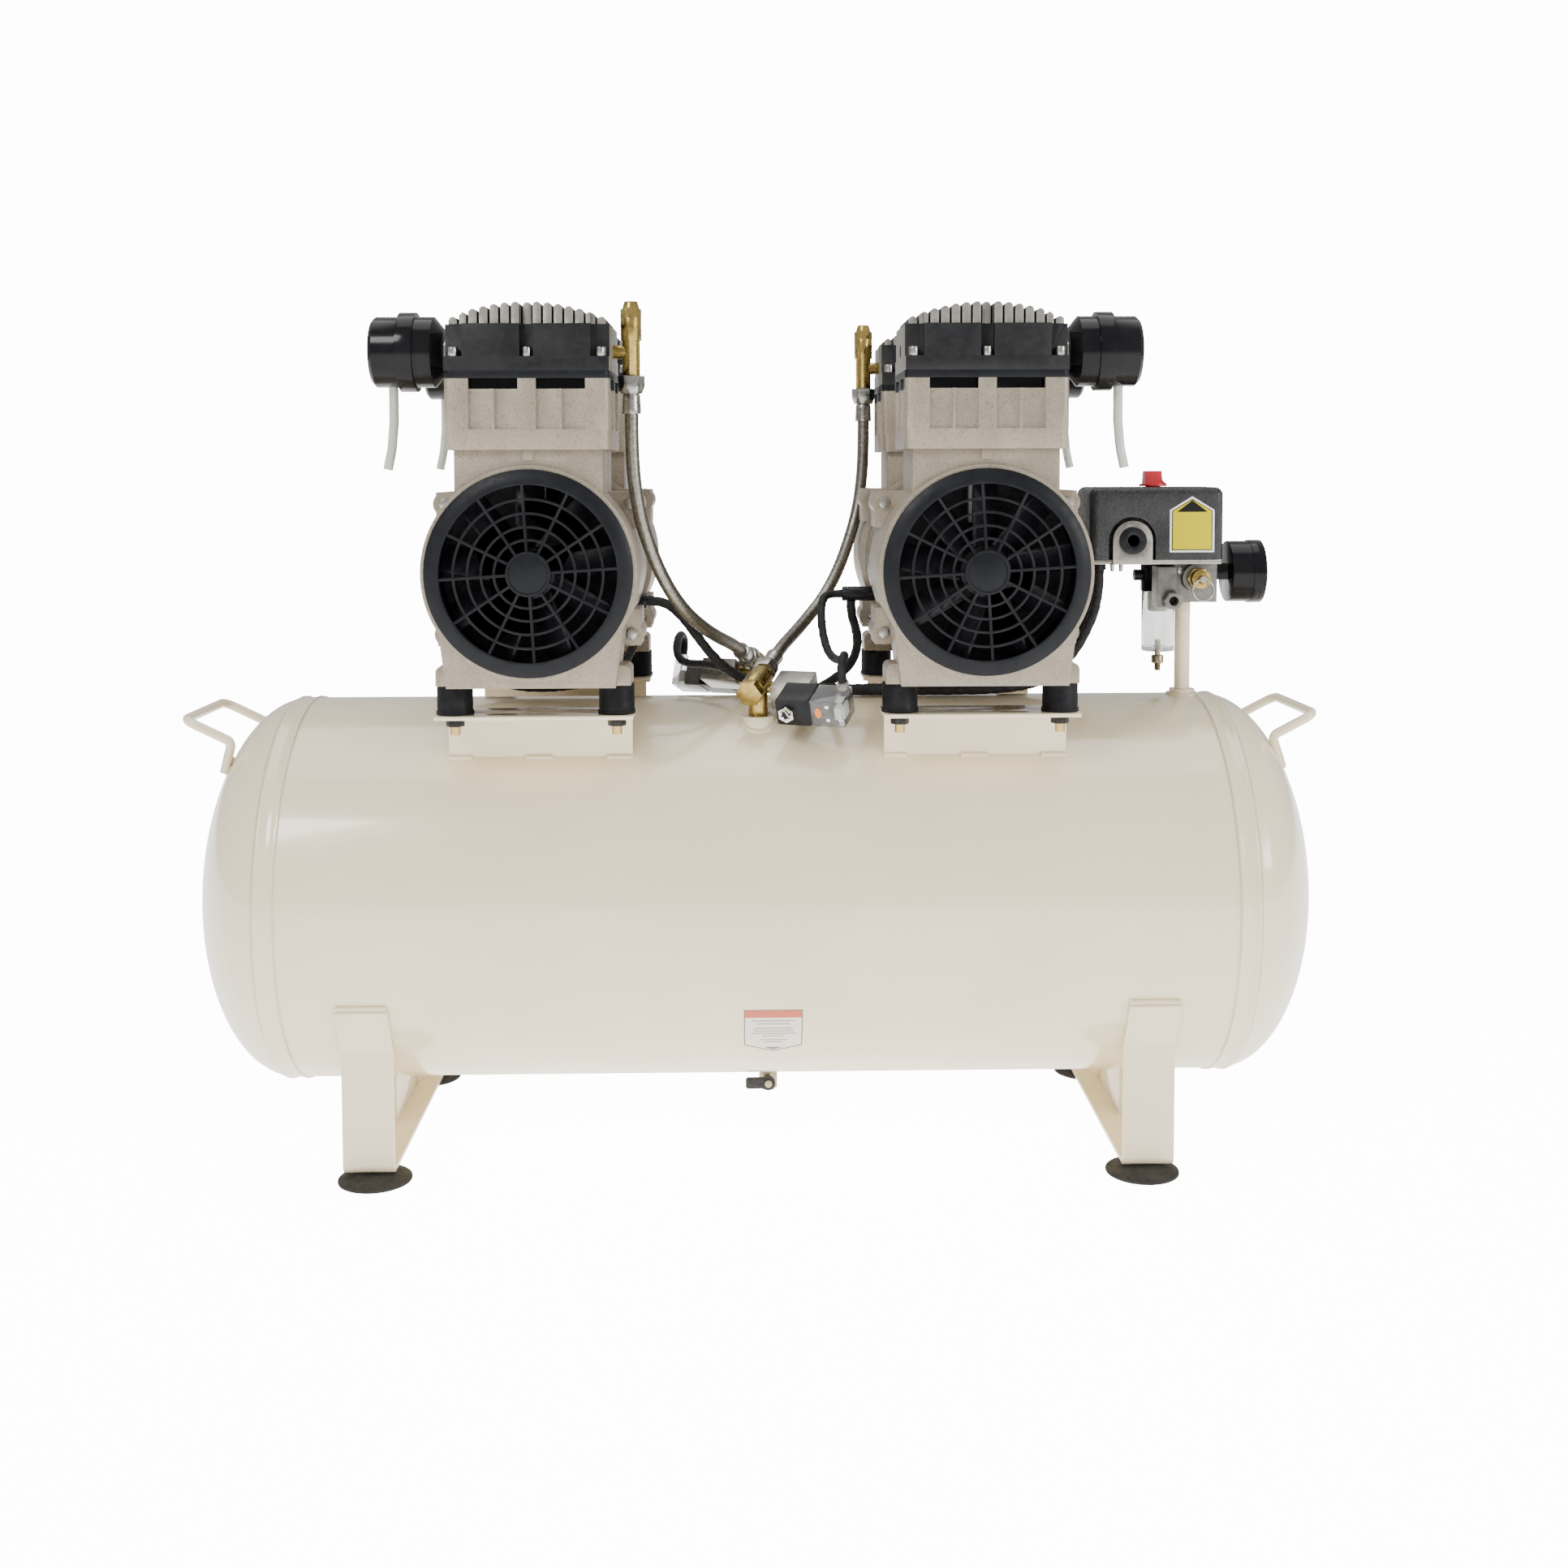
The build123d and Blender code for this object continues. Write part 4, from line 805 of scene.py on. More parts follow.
# ---------------------------------------------------------------- studio
@dataclass
class Studio:
    """Camera, soft lights and floor."""

    eye: Point = (-0.00842, -1.5608, 0.5783)
    yaw: float = -1.1667
    pitch: float = 3.348
    roll: float = -0.171
    lens: float = 41.14
    shift: float = -0.1346
    floor_half: float = 6.0
    ambient: float = 0.72
    backdrop: float = 14.0
    floor_glow: float = 13.0
    floor_share: float = 0.14
    lamps: tuple[tuple[str, Point, float, float], ...] = (
        ("key", (-1.6, -2.4, 2.6), 1.0, 62),
        ("fill", (2.6, -1.8, 1.3), 1.0, 52),
        ("top", (0.0, 0.4, 3.2), 2.4, 50),
    )

    def camera(self) -> None:
        """Places the camera."""
        data = bpy.data.cameras.new("studio_camera")
        data.lens = self.lens
        data.sensor_width = 36.0
        data.shift_y = self.shift
        data.clip_start, data.clip_end = 0.05, 50.0
        camera = bpy.data.objects.new("studio_camera", data)
        bpy.context.scene.collection.objects.link(camera)
        yaw, pitch, roll = (math.radians(a) for a in (self.yaw, self.pitch, self.roll))
        ahead = Vector((-math.sin(yaw) * math.cos(pitch), math.cos(yaw) * math.cos(pitch), -math.sin(pitch)))
        flat = Vector((math.cos(yaw), math.sin(yaw), 0))
        upright = flat.cross(ahead)
        right = flat * math.cos(roll) + upright * math.sin(roll)
        up = upright * math.cos(roll) - flat * math.sin(roll)
        turn = Matrix((right, up, -ahead)).transposed().to_4x4()
        camera.matrix_world = Matrix.Translation(self.eye) @ turn
        bpy.context.scene.camera = camera

    def lamp(self, name: str, place: Point, size: float, power: float) -> None:
        """A square soft lamp aimed at the machine."""
        data = bpy.data.lights.new(name, "AREA")
        data.shape, data.size, data.energy = "SQUARE", size, power
        lamp = bpy.data.objects.new(name, data)
        bpy.context.scene.collection.objects.link(lamp)
        aim = Vector((0, 0, 0.35)) - Vector(place)
        lamp.matrix_world = Matrix.Translation(place) @ aim.to_track_quat("-Z", "Y").to_matrix().to_4x4()

    def surroundings(self) -> None:
        """Even light from all sides, before a white backdrop that only the camera sees."""
        world = bpy.data.worlds.new("studio")
        world.use_nodes = True
        tree = world.node_tree
        light, seen = tree.nodes["Background"], tree.nodes.new("ShaderNodeBackground")
        for background, strength in ((light, self.ambient), (seen, self.backdrop)):
            background.inputs["Color"].default_value = (1, 1, 1, 1)
            background.inputs["Strength"].default_value = strength
        rays, mix = tree.nodes.new("ShaderNodeLightPath"), tree.nodes.new("ShaderNodeMixShader")
        tree.links.new(rays.outputs["Is Camera Ray"], mix.inputs[0])
        tree.links.new(light.outputs[0], mix.inputs[1])
        tree.links.new(seen.outputs[0], mix.inputs[2])
        tree.links.new(mix.outputs[0], tree.nodes["World Output"].inputs["Surface"])
        bpy.context.scene.world = world

    def floor(self) -> None:
        """A pale floor that glows softly, and looks as white as the backdrop."""
        bpy.ops.mesh.primitive_plane_add(size=self.floor_half * 2)
        floor = Bench.named("floor")
        graph = Graph("floor_paper")
        tone = graph.blend(graph.noise(0.6, 2.0).ramp(0.3, 0.7), (0.86, 0.86, 0.855), (0.84, 0.84, 0.835))
        seen = graph.node("ShaderNodeLightPath", {}, {}, "Is Camera Ray")
        glow = graph.blend(seen, (self.floor_share,) * 3, (1.0, 1.0, 1.0))
        graph.set(Base_Color=tone, Roughness=0.85, Emission_Color=glow, Emission_Strength=self.floor_glow)
        floor.data.materials.append(graph.material)

    def build(self) -> None:
        """Makes the whole studio."""
        self.camera()
        self.surroundings()
        for name, place, size, power in self.lamps:
            self.lamp(name, place, size, power)
        self.floor()


# ---------------------------------------------------------------- hoses and leads
VALVE_PLACE = Vector((0.0, -0.064, 0.4))
VALVE_TURN = Matrix.Rotation(math.radians(-21.0), 3, "Z") @ Matrix.Rotation(math.radians(22.0), 3, "X")
HALF_TURN = Matrix.Rotation(math.pi, 4, "Z")


def at_valve(x: float, y: float, z: float) -> Point:
    """A point given in the front valve's leaning frame in millimetres, in metres in the machine's."""
    return tuple(VALVE_PLACE + VALVE_TURN @ Vector((x, y, z)) * MM)


def mm(*points: Point) -> list[Point]:
    """Points given in millimetres, in metres."""
    return [tuple(value * MM for value in point) for point in points]


def turned_round(points: Iterable[Point]) -> list[Point]:
    """The same points on the other side of the machine's upright axis."""
    return [(-x, -y, z) for x, y, z in points]


@dataclass
class Cord:
    """A hose or lead laid along its route's own smooth line."""

    name: str
    node: str
    points: list[Point]
    diameter: float
    stiffness: str
    line: list[Vector] = field(default_factory=list)

    def curve(self, radius: float) -> bpy.types.Object:
        """The route as one open NURBS spline.

        Args:
            radius: radius of the tube round it in metres, or 0 for the bare line.

        Returns:
            The curve object.
        """
        data = bpy.data.curves.new(self.name, "CURVE")
        data.dimensions = "3D"
        data.resolution_u = 16
        data.bevel_depth = radius
        data.bevel_resolution = 6
        data.use_fill_caps = radius > 0
        spline = data.splines.new("NURBS")
        spline.points.add(len(self.points) - 1)
        for point, place in zip(spline.points, self.points):
            point.co = (*place, 1.0)
        spline.order_u = 3
        spline.use_endpoint_u = True
        made = bpy.data.objects.new(self.name, data)
        bpy.context.scene.collection.objects.link(made)
        return made

    def trace(self) -> None:
        """Reads the points that the spline runs through."""
        bare = self.curve(0.0)
        bpy.context.view_layer.update()
        mesh = bpy.data.meshes.new_from_object(bare)
        self.line = [vertex.co.copy() for vertex in mesh.vertices]
        bpy.data.objects.remove(bare)
        bpy.data.meshes.remove(mesh)

    @property
    def length(self) -> float:
        """Length of the line in metres."""
        return sum((b - a).length for a, b in zip(self.line, self.line[1:]))

    def frames(self, pitch: float) -> list[tuple[Vector, Vector, Vector]]:
        """Evenly spaced points on the line, each with two directions square to it.

        Args:
            pitch: spacing in metres.

        Returns:
            For each place the point and the two directions.
        """
        count = max(8, round(self.length / pitch))
        distances = [0.0]
        for a, b in zip(self.line, self.line[1:]):
            distances.append(distances[-1] + (b - a).length)
        places, index = [], 0
        for i in range(count + 1):
            want = distances[-1] * i / count
            while index < len(self.line) - 2 and distances[index + 1] < want:
                index += 1
            share = (want - distances[index]) / max(distances[index + 1] - distances[index], 1e-9)
            places.append(self.line[index].lerp(self.line[index + 1], share))
        result, across = [], Vector((0.3, 0.9, 0.2))
        for i, place in enumerate(places):
            ahead = (places[min(i + 1, count)] - places[max(i - 1, 0)]).normalized()
            across = (across - ahead * across.dot(ahead)).normalized()
            result.append((place, across.copy(), ahead.cross(across)))
        return result

    def declare(self, piece: bpy.types.Object, diameter: float, *others: bpy.types.Object) -> None:
        """Logs the length of the cord."""
        self.length
        LOG.info("%s: %.3f m", self.name, self.length)


@dataclass
class BraidedHose(Cord):
    """Rubber hose under a braid of flat wire bundles."""

    carriers: int = 12
    lay: float = 0.030
    ribbon: float = 0.0019
    core: float = 0.0049

    def strands(self) -> bpy.types.Object:
        """The braid: ribbons wound both ways that pass over and under each other."""
        outer = self.diameter / 2
        frames = self.frames(self.lay / 24)
        turns = self.length / self.lay
        rows: list[Point] = []
        faces: list[tuple[int, ...]] = []
        for way in (-1, 1):
            for k in range(self.carriers):
                first = len(rows)
                for i, (place, across, up) in enumerate(frames):
                    wound = math.tau * turns * (i / (len(frames) - 1))
                    angle = way * (wound + math.tau * k / self.carriers)
                    lift = math.cos(self.carriers * wound + math.pi * k) * way
                    for j in (-1, 0, 1):
                        turn = angle + j * self.ribbon / 2 / outer * 1.2
                        radius = outer - 0.00028 + 0.00016 * lift + (0.00010 if j == 0 else 0.0)
                        rows.append(tuple(place + (across * math.cos(turn) + up * math.sin(turn)) * radius))
                for i in range(len(frames) - 1):
                    for j in range(2):
                        a = first + i * 3 + j
                        faces.append((a, a + 1, a + 4, a + 3))
        mesh = bpy.data.meshes.new(f"{self.name}_braid")
        mesh.from_pydata(rows, [], faces)
        braid = bpy.data.objects.new(f"{self.name}_braid", mesh)
        bpy.context.scene.collection.objects.link(braid)
        Bench.modify(braid, "SOLIDIFY", thickness=0.00022, offset=0.0)
        Bench.smooth(braid, 60)
        return braid

    def build(self) -> None:
        """Makes the hose and its braid."""
        self.trace()
        hose = self.curve(self.core)
        hose.data.materials.append(HOSE_CORE.make())
        braid = self.strands()
        settle(braid, Body.MACHINE, BRAID)
        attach(hose, Body.MACHINE.value)
        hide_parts(self.node)
        self.declare(hose, self.core * 2, braid)


@dataclass
class SleevedLead(Cord):
    """Lead in a loose woven sleeve that bunches and wrinkles."""

    sides: int = 14
    seed: float = 0.0

    def radius(self, along: float, angle: float) -> float:
        """Radius of the sleeve at a distance along it and an angle round it."""
        bunch = math.sin(along * 410 + self.seed) * math.sin(along * 173 + 2 * self.seed)
        fold = math.sin(along * 690 + 2 * angle + self.seed) * math.sin(3 * angle + along * 120)
        return self.diameter / 2 * (0.965 + 0.035 * bunch + 0.05 * fold)

    def build(self) -> None:
        """Makes the sleeve as a mesh tube."""
        self.trace()
        frames = self.frames(0.0022)
        step = self.length / (len(frames) - 1)
        rows, faces, uvs = [], [], []
        for i, (place, across, up) in enumerate(frames):
            for j in range(self.sides):
                angle = math.tau * j / self.sides
                radius = self.radius(i * step, angle)
                rows.append(tuple(place + (across * math.cos(angle) + up * math.sin(angle)) * radius))
        for i in range(len(frames) - 1):
            for j in range(self.sides):
                a, b = i * self.sides + j, i * self.sides + (j + 1) % self.sides
                faces.append((a, b, b + self.sides, a + self.sides))
                uvs.append([(i, j), (i, j + 1), (i + 1, j + 1), (i + 1, j)])
        faces.append(tuple(range(self.sides - 1, -1, -1)))
        last = (len(frames) - 1) * self.sides
        faces.append(tuple(range(last, last + self.sides)))
        mesh = bpy.data.meshes.new(self.name)
        mesh.from_pydata(rows, [], faces)
        layer = mesh.uv_layers.new(name="UVMap")
        for face, corners in zip(mesh.polygons, uvs):
            for loop, (i, j) in zip(face.loop_indices, corners):
                layer.data[loop].uv = (i * step, j / self.sides)
        lead = bpy.data.objects.new(self.name, mesh)
        bpy.context.scene.collection.objects.link(lead)
        Bench.smooth(lead, 70)
        settle(lead, Body.MACHINE, SLEEVE, self.node)
        self.declare(lead, self.diameter)


def cords() -> list[Cord]:
    """All hoses and leads, with the routes that they take."""
    hose = mm((-100.5, -122, 622), (-100.5, -122, 598), (-99, -121, 568), (-94.5, -118, 538),
              (-86, -110, 510), (-75, -95, 483), (-61, -76, 460), (-46, -52, 444), (-33, -22, 432.5))
    hose += turned_round([at_valve(0, 62, 0), at_valve(0, 44, 0)])
    plug = [at_valve(80, -14, 10), at_valve(80, -14, 20)]
    left = mm((-94, -38, 466), (-81, -38, 466), (-68, -37, 457), (-55, -34, 440), (-41, -30, 420),
              (-26, -25, 405), (-8, -17, 394), (18, -10, 386), (55, -9, 384), (105, -8, 384.6),
              (160, -9, 384), (212, -8, 384.8), (246, -7, 390), (270, -8, 408), (287, -8, 434),
              (298, -8, 464), (298, -8, 489))
    right = mm((84, 38, 459.5), (84, 38, 448), (89, 43, 434), (91, 49, 418), (86, 55, 402), (73, 61, 388),
               (50, 63, 374.8), (27.5, 54, 374.5), (18, 33, 380.5), (27.5, 13, 384), (49, 5, 386),
               (80, 5, 384.4), (120, 6, 385), (170, 5, 384.4), (214, 7, 385), (247, 7, 391), (271, 7, 409),
               (288, 8, 436), (298, 8, 465), (298, 8, 489))
    front = plug + mm((68.5, -107.5, 422), (70.5, -97.5, 425.5), (71.5, -84, 422), (70, -66, 417.5),
                      (66, -44, 415.5), (61, -22, 419), (57.5, -4, 431), (56, 9, 446), (57, 20, 458),
                      (59.5, 31, 464), (66, 38, 466), (76, 38, 466))
    rear = turned_round(plug) + mm((-68.5, 107.5, 422), (-71, 97, 425), (-73.5, 85, 420), (-74, 75, 410),
                                   (-69, 63, 403.5), (-60, 48, 402.5), (-49, 33, 404), (-38, 17, 404.5),
                                   (-30, 1, 403.5), (-25, -14, 403))
    start = mm((-100, -38, 459.5), (-100, -38, 447), (-104, -34, 434), (-109, -27, 420), (-118, -19, 407),
               (-133, -12, 397), (-153, -7, 391), (-178, -2, 387.5), (-203, 3, 387), (-226, 8, 391),
               (-244, 13, 401), (-255, 17, 415), (-259, 20, 431), (-257, 20, 447), (-257, 20, 459.5))
    return [
        BraidedHose("left_hose", "left_air_hose", hose, 0.011, "stiff"),
        BraidedHose("right_hose", "right_air_hose", turned_round(hose), 0.011, "stiff"),
        SleevedLead("left_lead", "left_motor_lead", left, 0.0085, "medium", seed=0.4),
        SleevedLead("right_lead", "right_motor_lead", right, 0.0085, "medium", seed=1.7),
        SleevedLead("front_valve_wire", "front_valve_lead", front, 0.0075, "medium", seed=2.9),
        SleevedLead("rear_valve_wire", "rear_valve_lead", rear, 0.0075, "medium", seed=4.1),
        SleevedLead("left_start_wire", "left_start_lead", start, 0.0075, "medium", seed=5.3),
    ]


# ---------------------------------------------------------------- tank
@dataclass
class Tank:
    """Shell with joggled heads, its legs, handles, brackets and bungs."""

    radius: float = 0.163
    axis_z: float = 0.216
    skirt: float = 0.394
    depth: float = 0.079
    band: tuple[float, float] = (0.384, 0.399)
    band_radius: float = 0.1644
    arc_steps: int = 26

    def profile(self) -> list[tuple[float, float]]:
        """Outline of the right half from the middle to the pole, with both weld ridges."""
        points = [(0.0, self.radius)]
        inner, outer = self.band
        points += [(inner - 0.0022, self.radius), (inner - 0.0009, self.band_radius - 0.0001),
                   (inner + 0.0005, self.band_radius), (inner + 0.0030, self.radius + 0.0004)]
        points += [(outer - 0.0040, self.radius + 0.0002), (outer - 0.0022, self.band_radius - 0.0001),
                   (outer - 0.0008, self.band_radius), (outer, self.band_radius - 0.0004)]
        for i in range(2, self.arc_steps + 1):
            turn = math.pi / 2 * i / self.arc_steps
            points.append((self.skirt + self.depth * math.sin(turn), self.radius * math.cos(turn)))
        points[-1] = (self.skirt + self.depth, 0.0)
        return points

    def build(self) -> None:
        """Makes the vessel and dresses what is welded to it."""
        half = self.profile()
        outline = [(-along, radius) for along, radius in reversed(half[1:])] + half[1:]
        vessel = Bench.turned("tank_vessel", outline, Way.X, (0, 0, self.axis_z), 192)
        settle(vessel, Body.MACHINE, CREAM, "tank_shell", "tank_heads")
        for node, width in (("carry_handles", 0.0), ("leg_left", 0.0008), ("leg_right", 0.0008),
                            ("pump_brackets", 0.0006), ("tank_bungs", 0.0012), ("riser_pipe", 0.0)):
            settle(softened(node, width), Body.MACHINE, CREAM, node)
        settle(softened("foot_pads", 0.0005), Body.MACHINE, PAD, "foot_pads")
        for i, points in enumerate(self.welds()):
            settle(Bench.bead(f"weld_{i:02d}", points, 0.0023), Body.MACHINE, CREAM)

    def crown(self, x: float, y: float) -> Point:
        """The point on the shell's upper half above x and y."""
        return x, y, self.axis_z + math.sqrt(self.radius**2 - y**2)

    def welds(self) -> list[list[Point]]:
        """Runs of weld at the brackets, the legs, the bungs and the handles."""
        runs = []
        for pump in (-PUMP_X, PUMP_X):
            for side in (-1, 1):
                for start, end in ((-0.075, -0.056), (-0.012, 0.010), (0.054, 0.075)):
                    xs = [pump + start + (end - start) * i / 14 for i in range(15)]
                    runs.append([self.crown(x, side * 0.1028) for x in xs])
        for x in (-0.318, 0.318):
            for side in (-1, 1):
                runs.append([(x - 0.0205 + 0.041 * i / 24, side * 0.1500, 0.1492) for i in range(25)])
        for x, y, radius in ((0.0, -0.064, 0.0145), (0.0, 0.064, 0.0145), (0.373, 0.0, 0.0120)):
            turns = [math.tau * i / 36 for i in range(37)]
            runs.append([self.crown(x + radius * math.cos(t), y + radius * math.sin(t)) for t in turns])
        for end in (-1, 1):
            for side in (-1, 1):
                heights = [0.322 + 0.014 * i / 10 for i in range(11)]
                runs.append([(end * self.head_x(side * 0.0545, z), side * 0.0545, z) for z in heights])
        return runs

    def head_x(self, y: float, z: float) -> float:
        """How far out the head's surface lies at y and z."""
        share = (y**2 + (z - self.axis_z) ** 2) / self.radius**2
        return self.skirt + self.depth * math.sqrt(1 - share)


def on_valves(piece: bpy.types.Object, finish: Finish) -> None:
    """Leans a piece made in the valves' own frame onto the front valve and puts a twin on the rear one."""
    piece.data.transform(Matrix.Translation(VALVE_PLACE) @ VALVE_TURN.to_4x4())
    twin = Bench.copy(piece, f"{piece.name}_rear", HALF_TURN)
    settle(piece, Body.MACHINE, finish)
    settle(twin, Body.MACHINE, finish)


@dataclass
class PlugDetails:
    """What shows in and on each coil and its clear plug."""

    face: float = -0.038

    def build(self) -> None:
        """Makes nut, insert, screws, contact carrier and oval mark."""
        nut = Bench.nut("coil_nut", (0.038, self.face, -0.007), Way.FRONT, 0.0125, 0.0054, 0.0034)
        on_valves(nut, CHROME)
        low, high = (0.0587, self.face + 0.0012, -0.0175), (0.0745, -0.014, 0.0028)
        on_valves(Bench.block("plug_insert", low, high, 0.0006), INSERT)
        low, high = (0.0765, self.face + 0.005, -0.0140), (0.0825, -0.020, -0.0035)
        on_valves(Bench.block("plug_contacts", low, high, 0.0008), WHITE_PART)
        for name, z in (("plug_screw_top", -0.0005), ("plug_screw_low", -0.0125)):
            screw = Bench.turned(name, [(0.0, 0.0), (0.0, 0.0019), (0.0004, 0.0019), (0.0007, 0.0015),
                                        (0.0007, 0.0)], Way.FRONT, (0.0722, self.face + 0.0001, z), 24)
            on_valves(screw, CHROME)
        oval = Bench.turned("plug_mark", [(0.0, 0.0), (0.0, 0.0028), (0.00025, 0.0028), (0.00025, 0.0)],
                            Way.FRONT, (0.0643, self.face, -0.0065), 40)
        centre = Matrix.Translation((0.0643, 0, -0.0065))
        oval.data.transform(centre @ Matrix.Diagonal((1.0, 1.0, 1.6, 1.0)) @ centre.inverted())
        on_valves(oval, ORANGE)


@dataclass
class HouseLabel:
    """Pointed label on the switch cover: white edge, dark line, yellow field and dark triangle."""

    sides: tuple[float, float] = (353.0, 391.3)
    bottom: float = 505.3
    shoulder: float = 541.5
    peak: float = 553.2
    face: float = -35.0

    def outline(self, inset: float, y: float) -> list[Point]:
        """The label's outline, inset by some millimetres, at a depth y."""
        left, right = self.sides[0] + inset, self.sides[1] - inset
        shoulder, middle = self.shoulder - inset * 0.45, (left + right) / 2
        return mm((left, y, self.bottom + inset), (right, y, self.bottom + inset), (right, y, shoulder),
                  (middle, y, self.peak - inset * 1.2), (left, y, shoulder))

    def build(self) -> None:
        """Makes the four layers."""
        layers = (("label_edge", 0.0, PAPER), ("label_line", 1.7, INK), ("label_field", 2.5, YELLOW))
        for i, (name, inset, finish) in enumerate(layers):
            outline = self.outline(inset, self.face + 0.1 - 0.15 * i)
            settle(Bench.plate(name, outline, Vector((0, -0.0002, 0))), Body.MACHINE, finish)
        middle, y = sum(self.sides) / 2, self.face - 0.3
        corners = mm((middle - 13.2, y, self.shoulder - 1.6), (middle + 13.2, y, self.shoulder - 1.6),
                     (middle, y, self.peak - 3.4))
        settle(Bench.plate("label_triangle", corners, Vector((0, -0.00025, 0))), Body.MACHINE, INK)


@dataclass
class GaugeDial:
    """White dial with a scale of ticks under the lens."""

    centre: Point = (0.4332, 0.0, 0.487)
    radius: float = 0.0238
    ticks: int = 50

    def build(self) -> None:
        """Makes the disc and its ticks."""
        outline = [(0.0, 0.0), (0.0, self.radius), (0.0003, self.radius), (0.0003, 0.0)]
        settle(Bench.turned("gauge_dial", outline, Way.X, self.centre, 64), Body.MACHINE, PAPER)
        marks = []
        for i in range(self.ticks + 1):
            turn = math.radians(135.0 - 270.0 * i / self.ticks)
            half, inner = (0.0003, 0.0180) if i % 5 == 0 else (0.00015, 0.0195)
            x = self.centre[0] + 0.00035
            mark = Bench.block(f"tick_{i}", (x - 0.0001, -half, inner), (x + 0.0001, half, 0.0215), 0.0)
            mark.data.transform(Matrix.Translation((0, 0, self.centre[2])) @ Matrix.Rotation(-turn, 4, "X"))
            marks.append(mark)
        settle(Bench.joined("gauge_ticks", marks), Body.MACHINE, INK)


@dataclass
class SmallFittings:
    """Rings, screws, threads and the bowl's inside."""

    def hub_rings(self) -> None:
        """A raised ring round each grille's hub."""
        ring = [(0.0046, 0.0150), (0.0056, 0.0154), (0.0058, 0.0164), (0.0054, 0.0175), (0.0042, 0.0178),
                (0.0046, 0.0150)]
        for name, x in (("left", -PUMP_X), ("right", PUMP_X)):
            front = Bench.turned(f"{name}_hub_ring", ring, Way.FRONT, (x, -BELL_FACE_Y, FAN_AXIS_Z), 48)
            settle(front, Body.MACHINE, GUARD)
            rear = Bench.turned(f"{name}_rear_hub_ring", ring, Way.Y, (x, BELL_FACE_Y, FAN_AXIS_Z), 48)
            settle(rear, Body.MACHINE, GUARD)

    def riser_thread(self) -> None:
        """The pipe thread that shows above the riser."""
        thread = [(0.0, 0.0066)]
        thread += [(0.0006 * i + 0.0006, 0.0066 + 0.0004 * (i % 2)) for i in range(15)] + [(0.0096, 0.0066)]
        settle(Bench.turned("riser_thread", thread, Way.Z, (0.373, 0.0, 0.4508), 48), Body.MACHINE, CREAM)

    def bowl(self) -> None:
        """The bowl's threaded drain and the element inside it."""
        spigot = [(0.0, 0.0), (0.0, 0.0024)]
        spigot += [(0.0005 * i + 0.0004, 0.0024 + 0.0005 * (i % 2)) for i in range(12)]
        spigot += [(0.0066, 0.0045), (0.0072, 0.0054), (0.0132, 0.0054), (0.0138, 0.0050), (0.0138, 0.0026),
                   (0.0275, 0.0026), (0.0275, 0.0)]
        drain = Bench.turned("bowl_spigot", spigot, Way.Z, (FILTER_X, FILTER_Y, 0.3962), 32)
        settle(drain, Body.BOWL_DRAIN, DULL_BRASS, "bowl_drain")
        core = [(0.0, 0.0), (0.0, 0.0085), (0.0015, 0.0095), (0.017, 0.0095), (0.018, 0.0085), (0.018, 0.0)]
        element = Bench.turned("bowl_element", core, Way.Z, (FILTER_X, FILTER_Y, 0.4495), 40)
        settle(element, Body.MACHINE, WHITE_PART)

    def build(self) -> None:
        """Makes every small fitting."""
        self.hub_rings()
        self.riser_thread()
        self.bowl()
        head = [(0.0, 0.0), (0.0, 0.0036), (0.0012, 0.0034), (0.0018, 0.0024), (0.0019, 0.0)]
        screw = Bench.turned("manifold_screw", head, Way.FRONT, (0.3672, -0.0159, 0.4888), 32)
        settle(screw, Body.MACHINE, ZINC)
        stub = [(0.0, 0.0), (0.0, 0.0016), (0.0062, 0.0020), (0.0062, 0.0)]
        for name, x in (("tab_stub_left", 0.304), ("tab_stub_right", 0.3115)):
            settle(Bench.turned(name, stub, Way.Z, (x, -0.0335, 0.4890), 20), Body.MACHINE, ZINC)


@dataclass
class Dressed:
    """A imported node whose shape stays, with rounded edges and its finish."""

    node: str
    finish: Finish
    width: float
    body: Body = Body.MACHINE
    segments: int = 2

    def build(self) -> None:
        """Makes the rounded copy."""
        settle(softened(self.node, self.width, self.segments), self.body, self.finish, self.node)


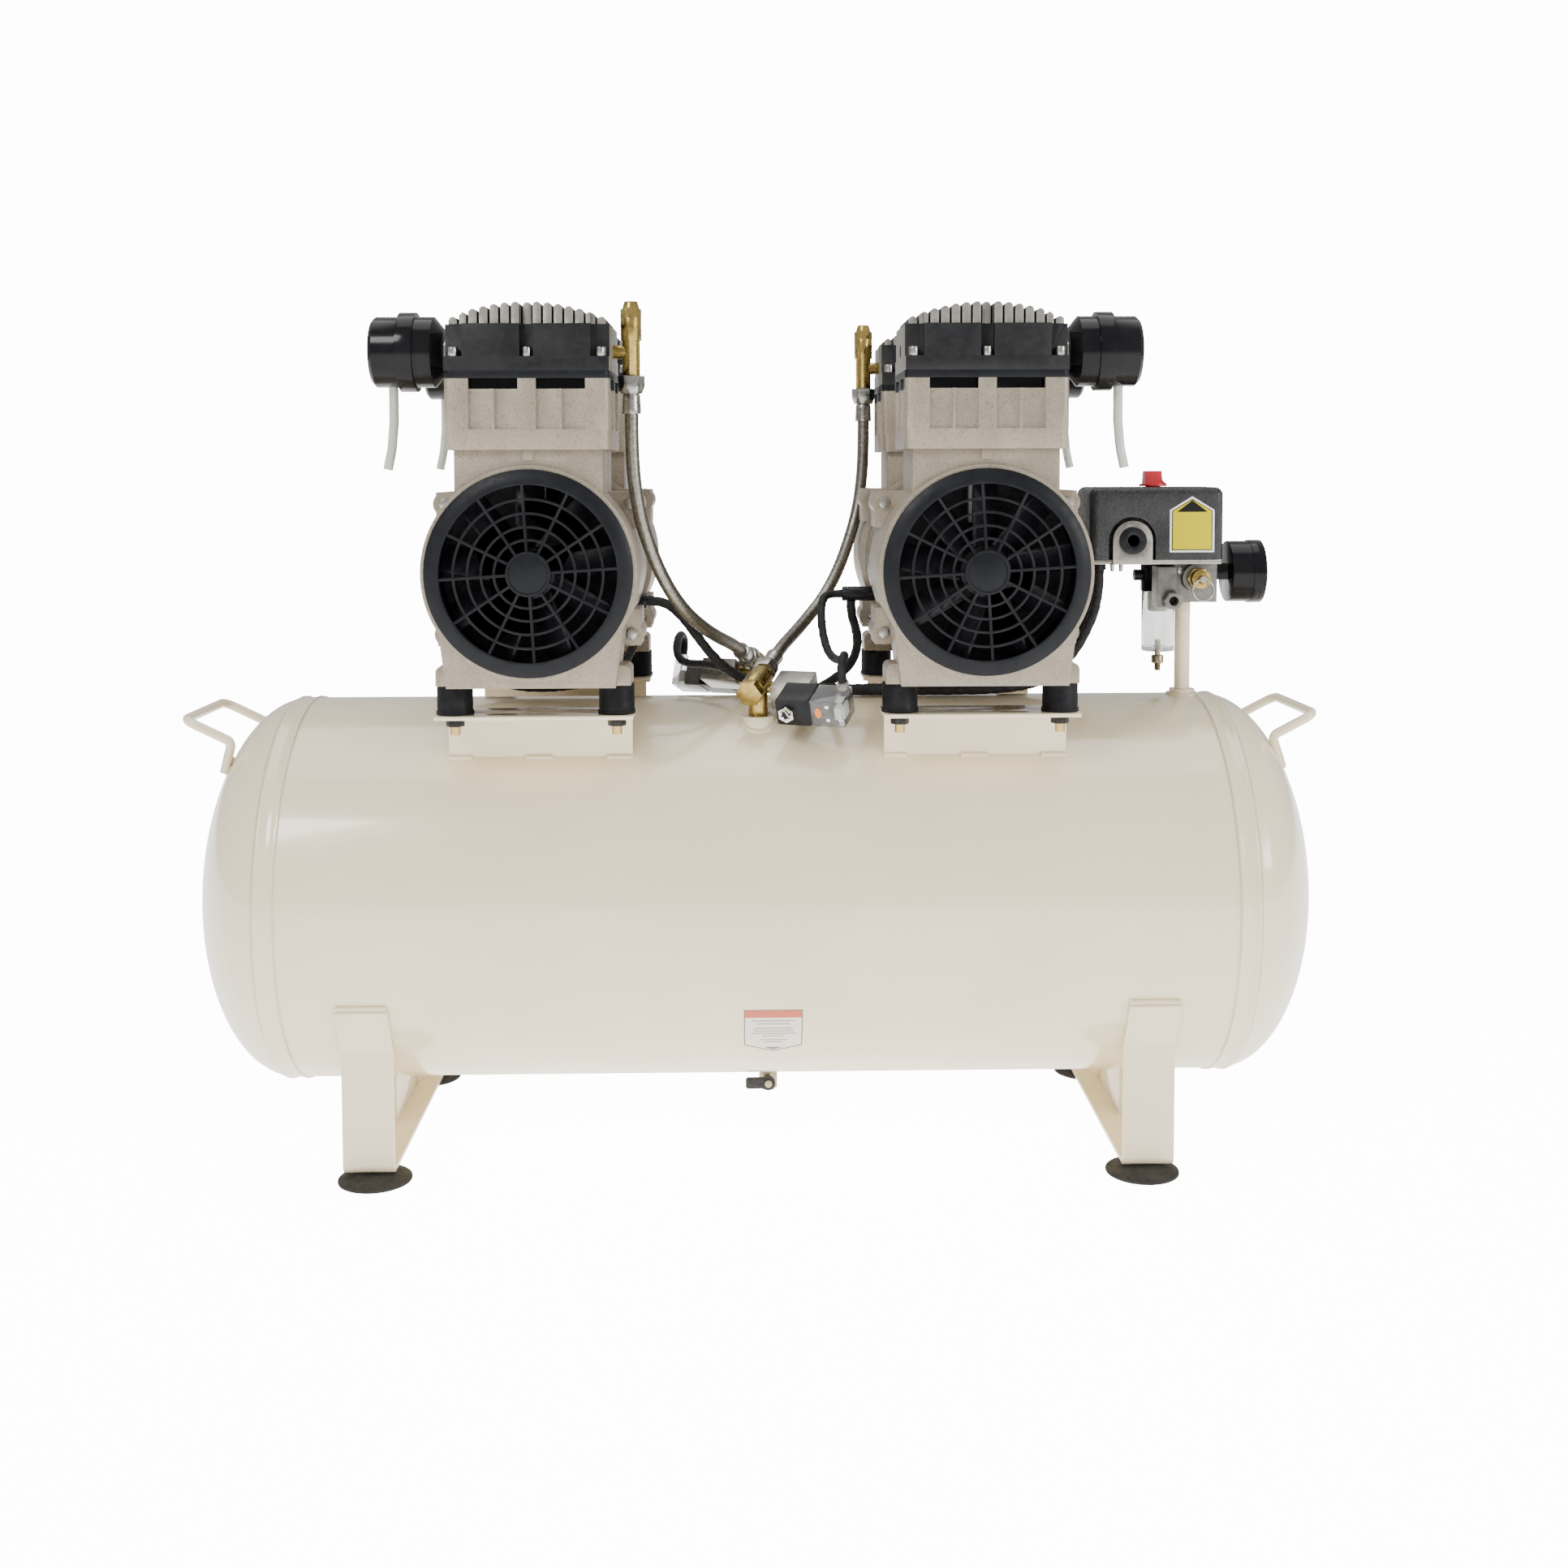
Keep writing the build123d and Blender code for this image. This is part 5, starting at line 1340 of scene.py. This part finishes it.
DRESSED = [
    Dressed("left_end_bells", SILVER, 0.0016, segments=3),
    Dressed("right_end_bells", SILVER, 0.0016, segments=3),
    Dressed("cylinder_blocks", SILVER, 0.0010),
    Dressed("left_cylinder_heads", HEAD, 0.0005),
    Dressed("right_cylinder_heads", HEAD, 0.0005),
    Dressed("valve_plates", GUARD, 0.0004),
    Dressed("vibration_mounts", RUBBER, 0.0010),
    Dressed("mount_hardware", NUTS, 0.0004),
    Dressed("pump_screws", ZINC, 0.0003),
    Dressed("hose_fittings", ZINC, 0.0004),
    Dressed("rotor_bearings", ZINC, 0.0003),
    Dressed("safety_pull", ZINC, 0.0, Body.RELIEF),
    Dressed("left_rotor", ZINC, 0.0, Body.LEFT_ROTOR),
    Dressed("right_rotor", ZINC, 0.0, Body.RIGHT_ROTOR),
    Dressed("motor_stators", DRUM, 0.0005),
    Dressed("fan_grilles", GUARD, 0.0006),
    Dressed("left_fans", COIL, 0.0004, Body.LEFT_ROTOR),
    Dressed("right_fans", COIL, 0.0004, Body.RIGHT_ROTOR),
    Dressed("solenoid_coils", COIL, 0.0006),
    Dressed("cable_glands", COIL, 0.0006),
    Dressed("intake_filters", CANISTER, 0.0014, segments=3),
    Dressed("filter_head", GLOSS, 0.0010, segments=3),
    Dressed("gauge_case", GLOSS, 0.0008),
    Dressed("unloader_blocks", ALLOY, 0.0005),
    Dressed("switch_bracket", STEEL, 0.0005),
    Dressed("manifold", DIECAST, 0.0010, segments=3),
    Dressed("air_outlet", DIECAST, 0.0005),
    Dressed("outlet_tees", BRASS, 0.0005),
    Dressed("check_valves", BRASS, 0.0007),
    Dressed("safety_valve", BRASS, 0.0004),
    Dressed("drain_valve", DULL_BRASS, 0.0005),
    Dressed("filter_drain_tubes", TUBE_CLEAR, 0.0),
    Dressed("solenoid_plugs", CLEAR, 0.0006),
    Dressed("filter_bowl", CLEAR, 0.0010, segments=3),
    Dressed("gauge_lens", LENS, 0.0003),
    Dressed("switch_cover", COVER, 0.0006),
    Dressed("switch_knob", RED, 0.0008, Body.KNOB, 3),
    Dressed("drain_lever", COVER, 0.0006, Body.DRAIN),
    Dressed("gauge_pointer", ENAMEL_BLACK, 0.0, Body.HAND),
]


def main() -> None:
    """Builds the studio, the cords and every sub-assembly in order."""
    logging.basicConfig(level=logging.INFO, format="%(name)s %(message)s")
    Bench.clear()
    Studio().build()
    for cord in cords():
        cord.build()
    Tank().build()
    for dressed in DRESSED:
        dressed.build()
    for details in (PlugDetails(), HouseLabel(), GaugeDial(), SmallFittings()):
        details.build()
    for name in ("left_front_piston", "left_rear_piston", "right_front_piston", "right_rear_piston"):
        Bench.paint(frame["nodes"][name], PISTON)
    bpy.context.view_layer.update()


if __name__ == "__main__":
    main()
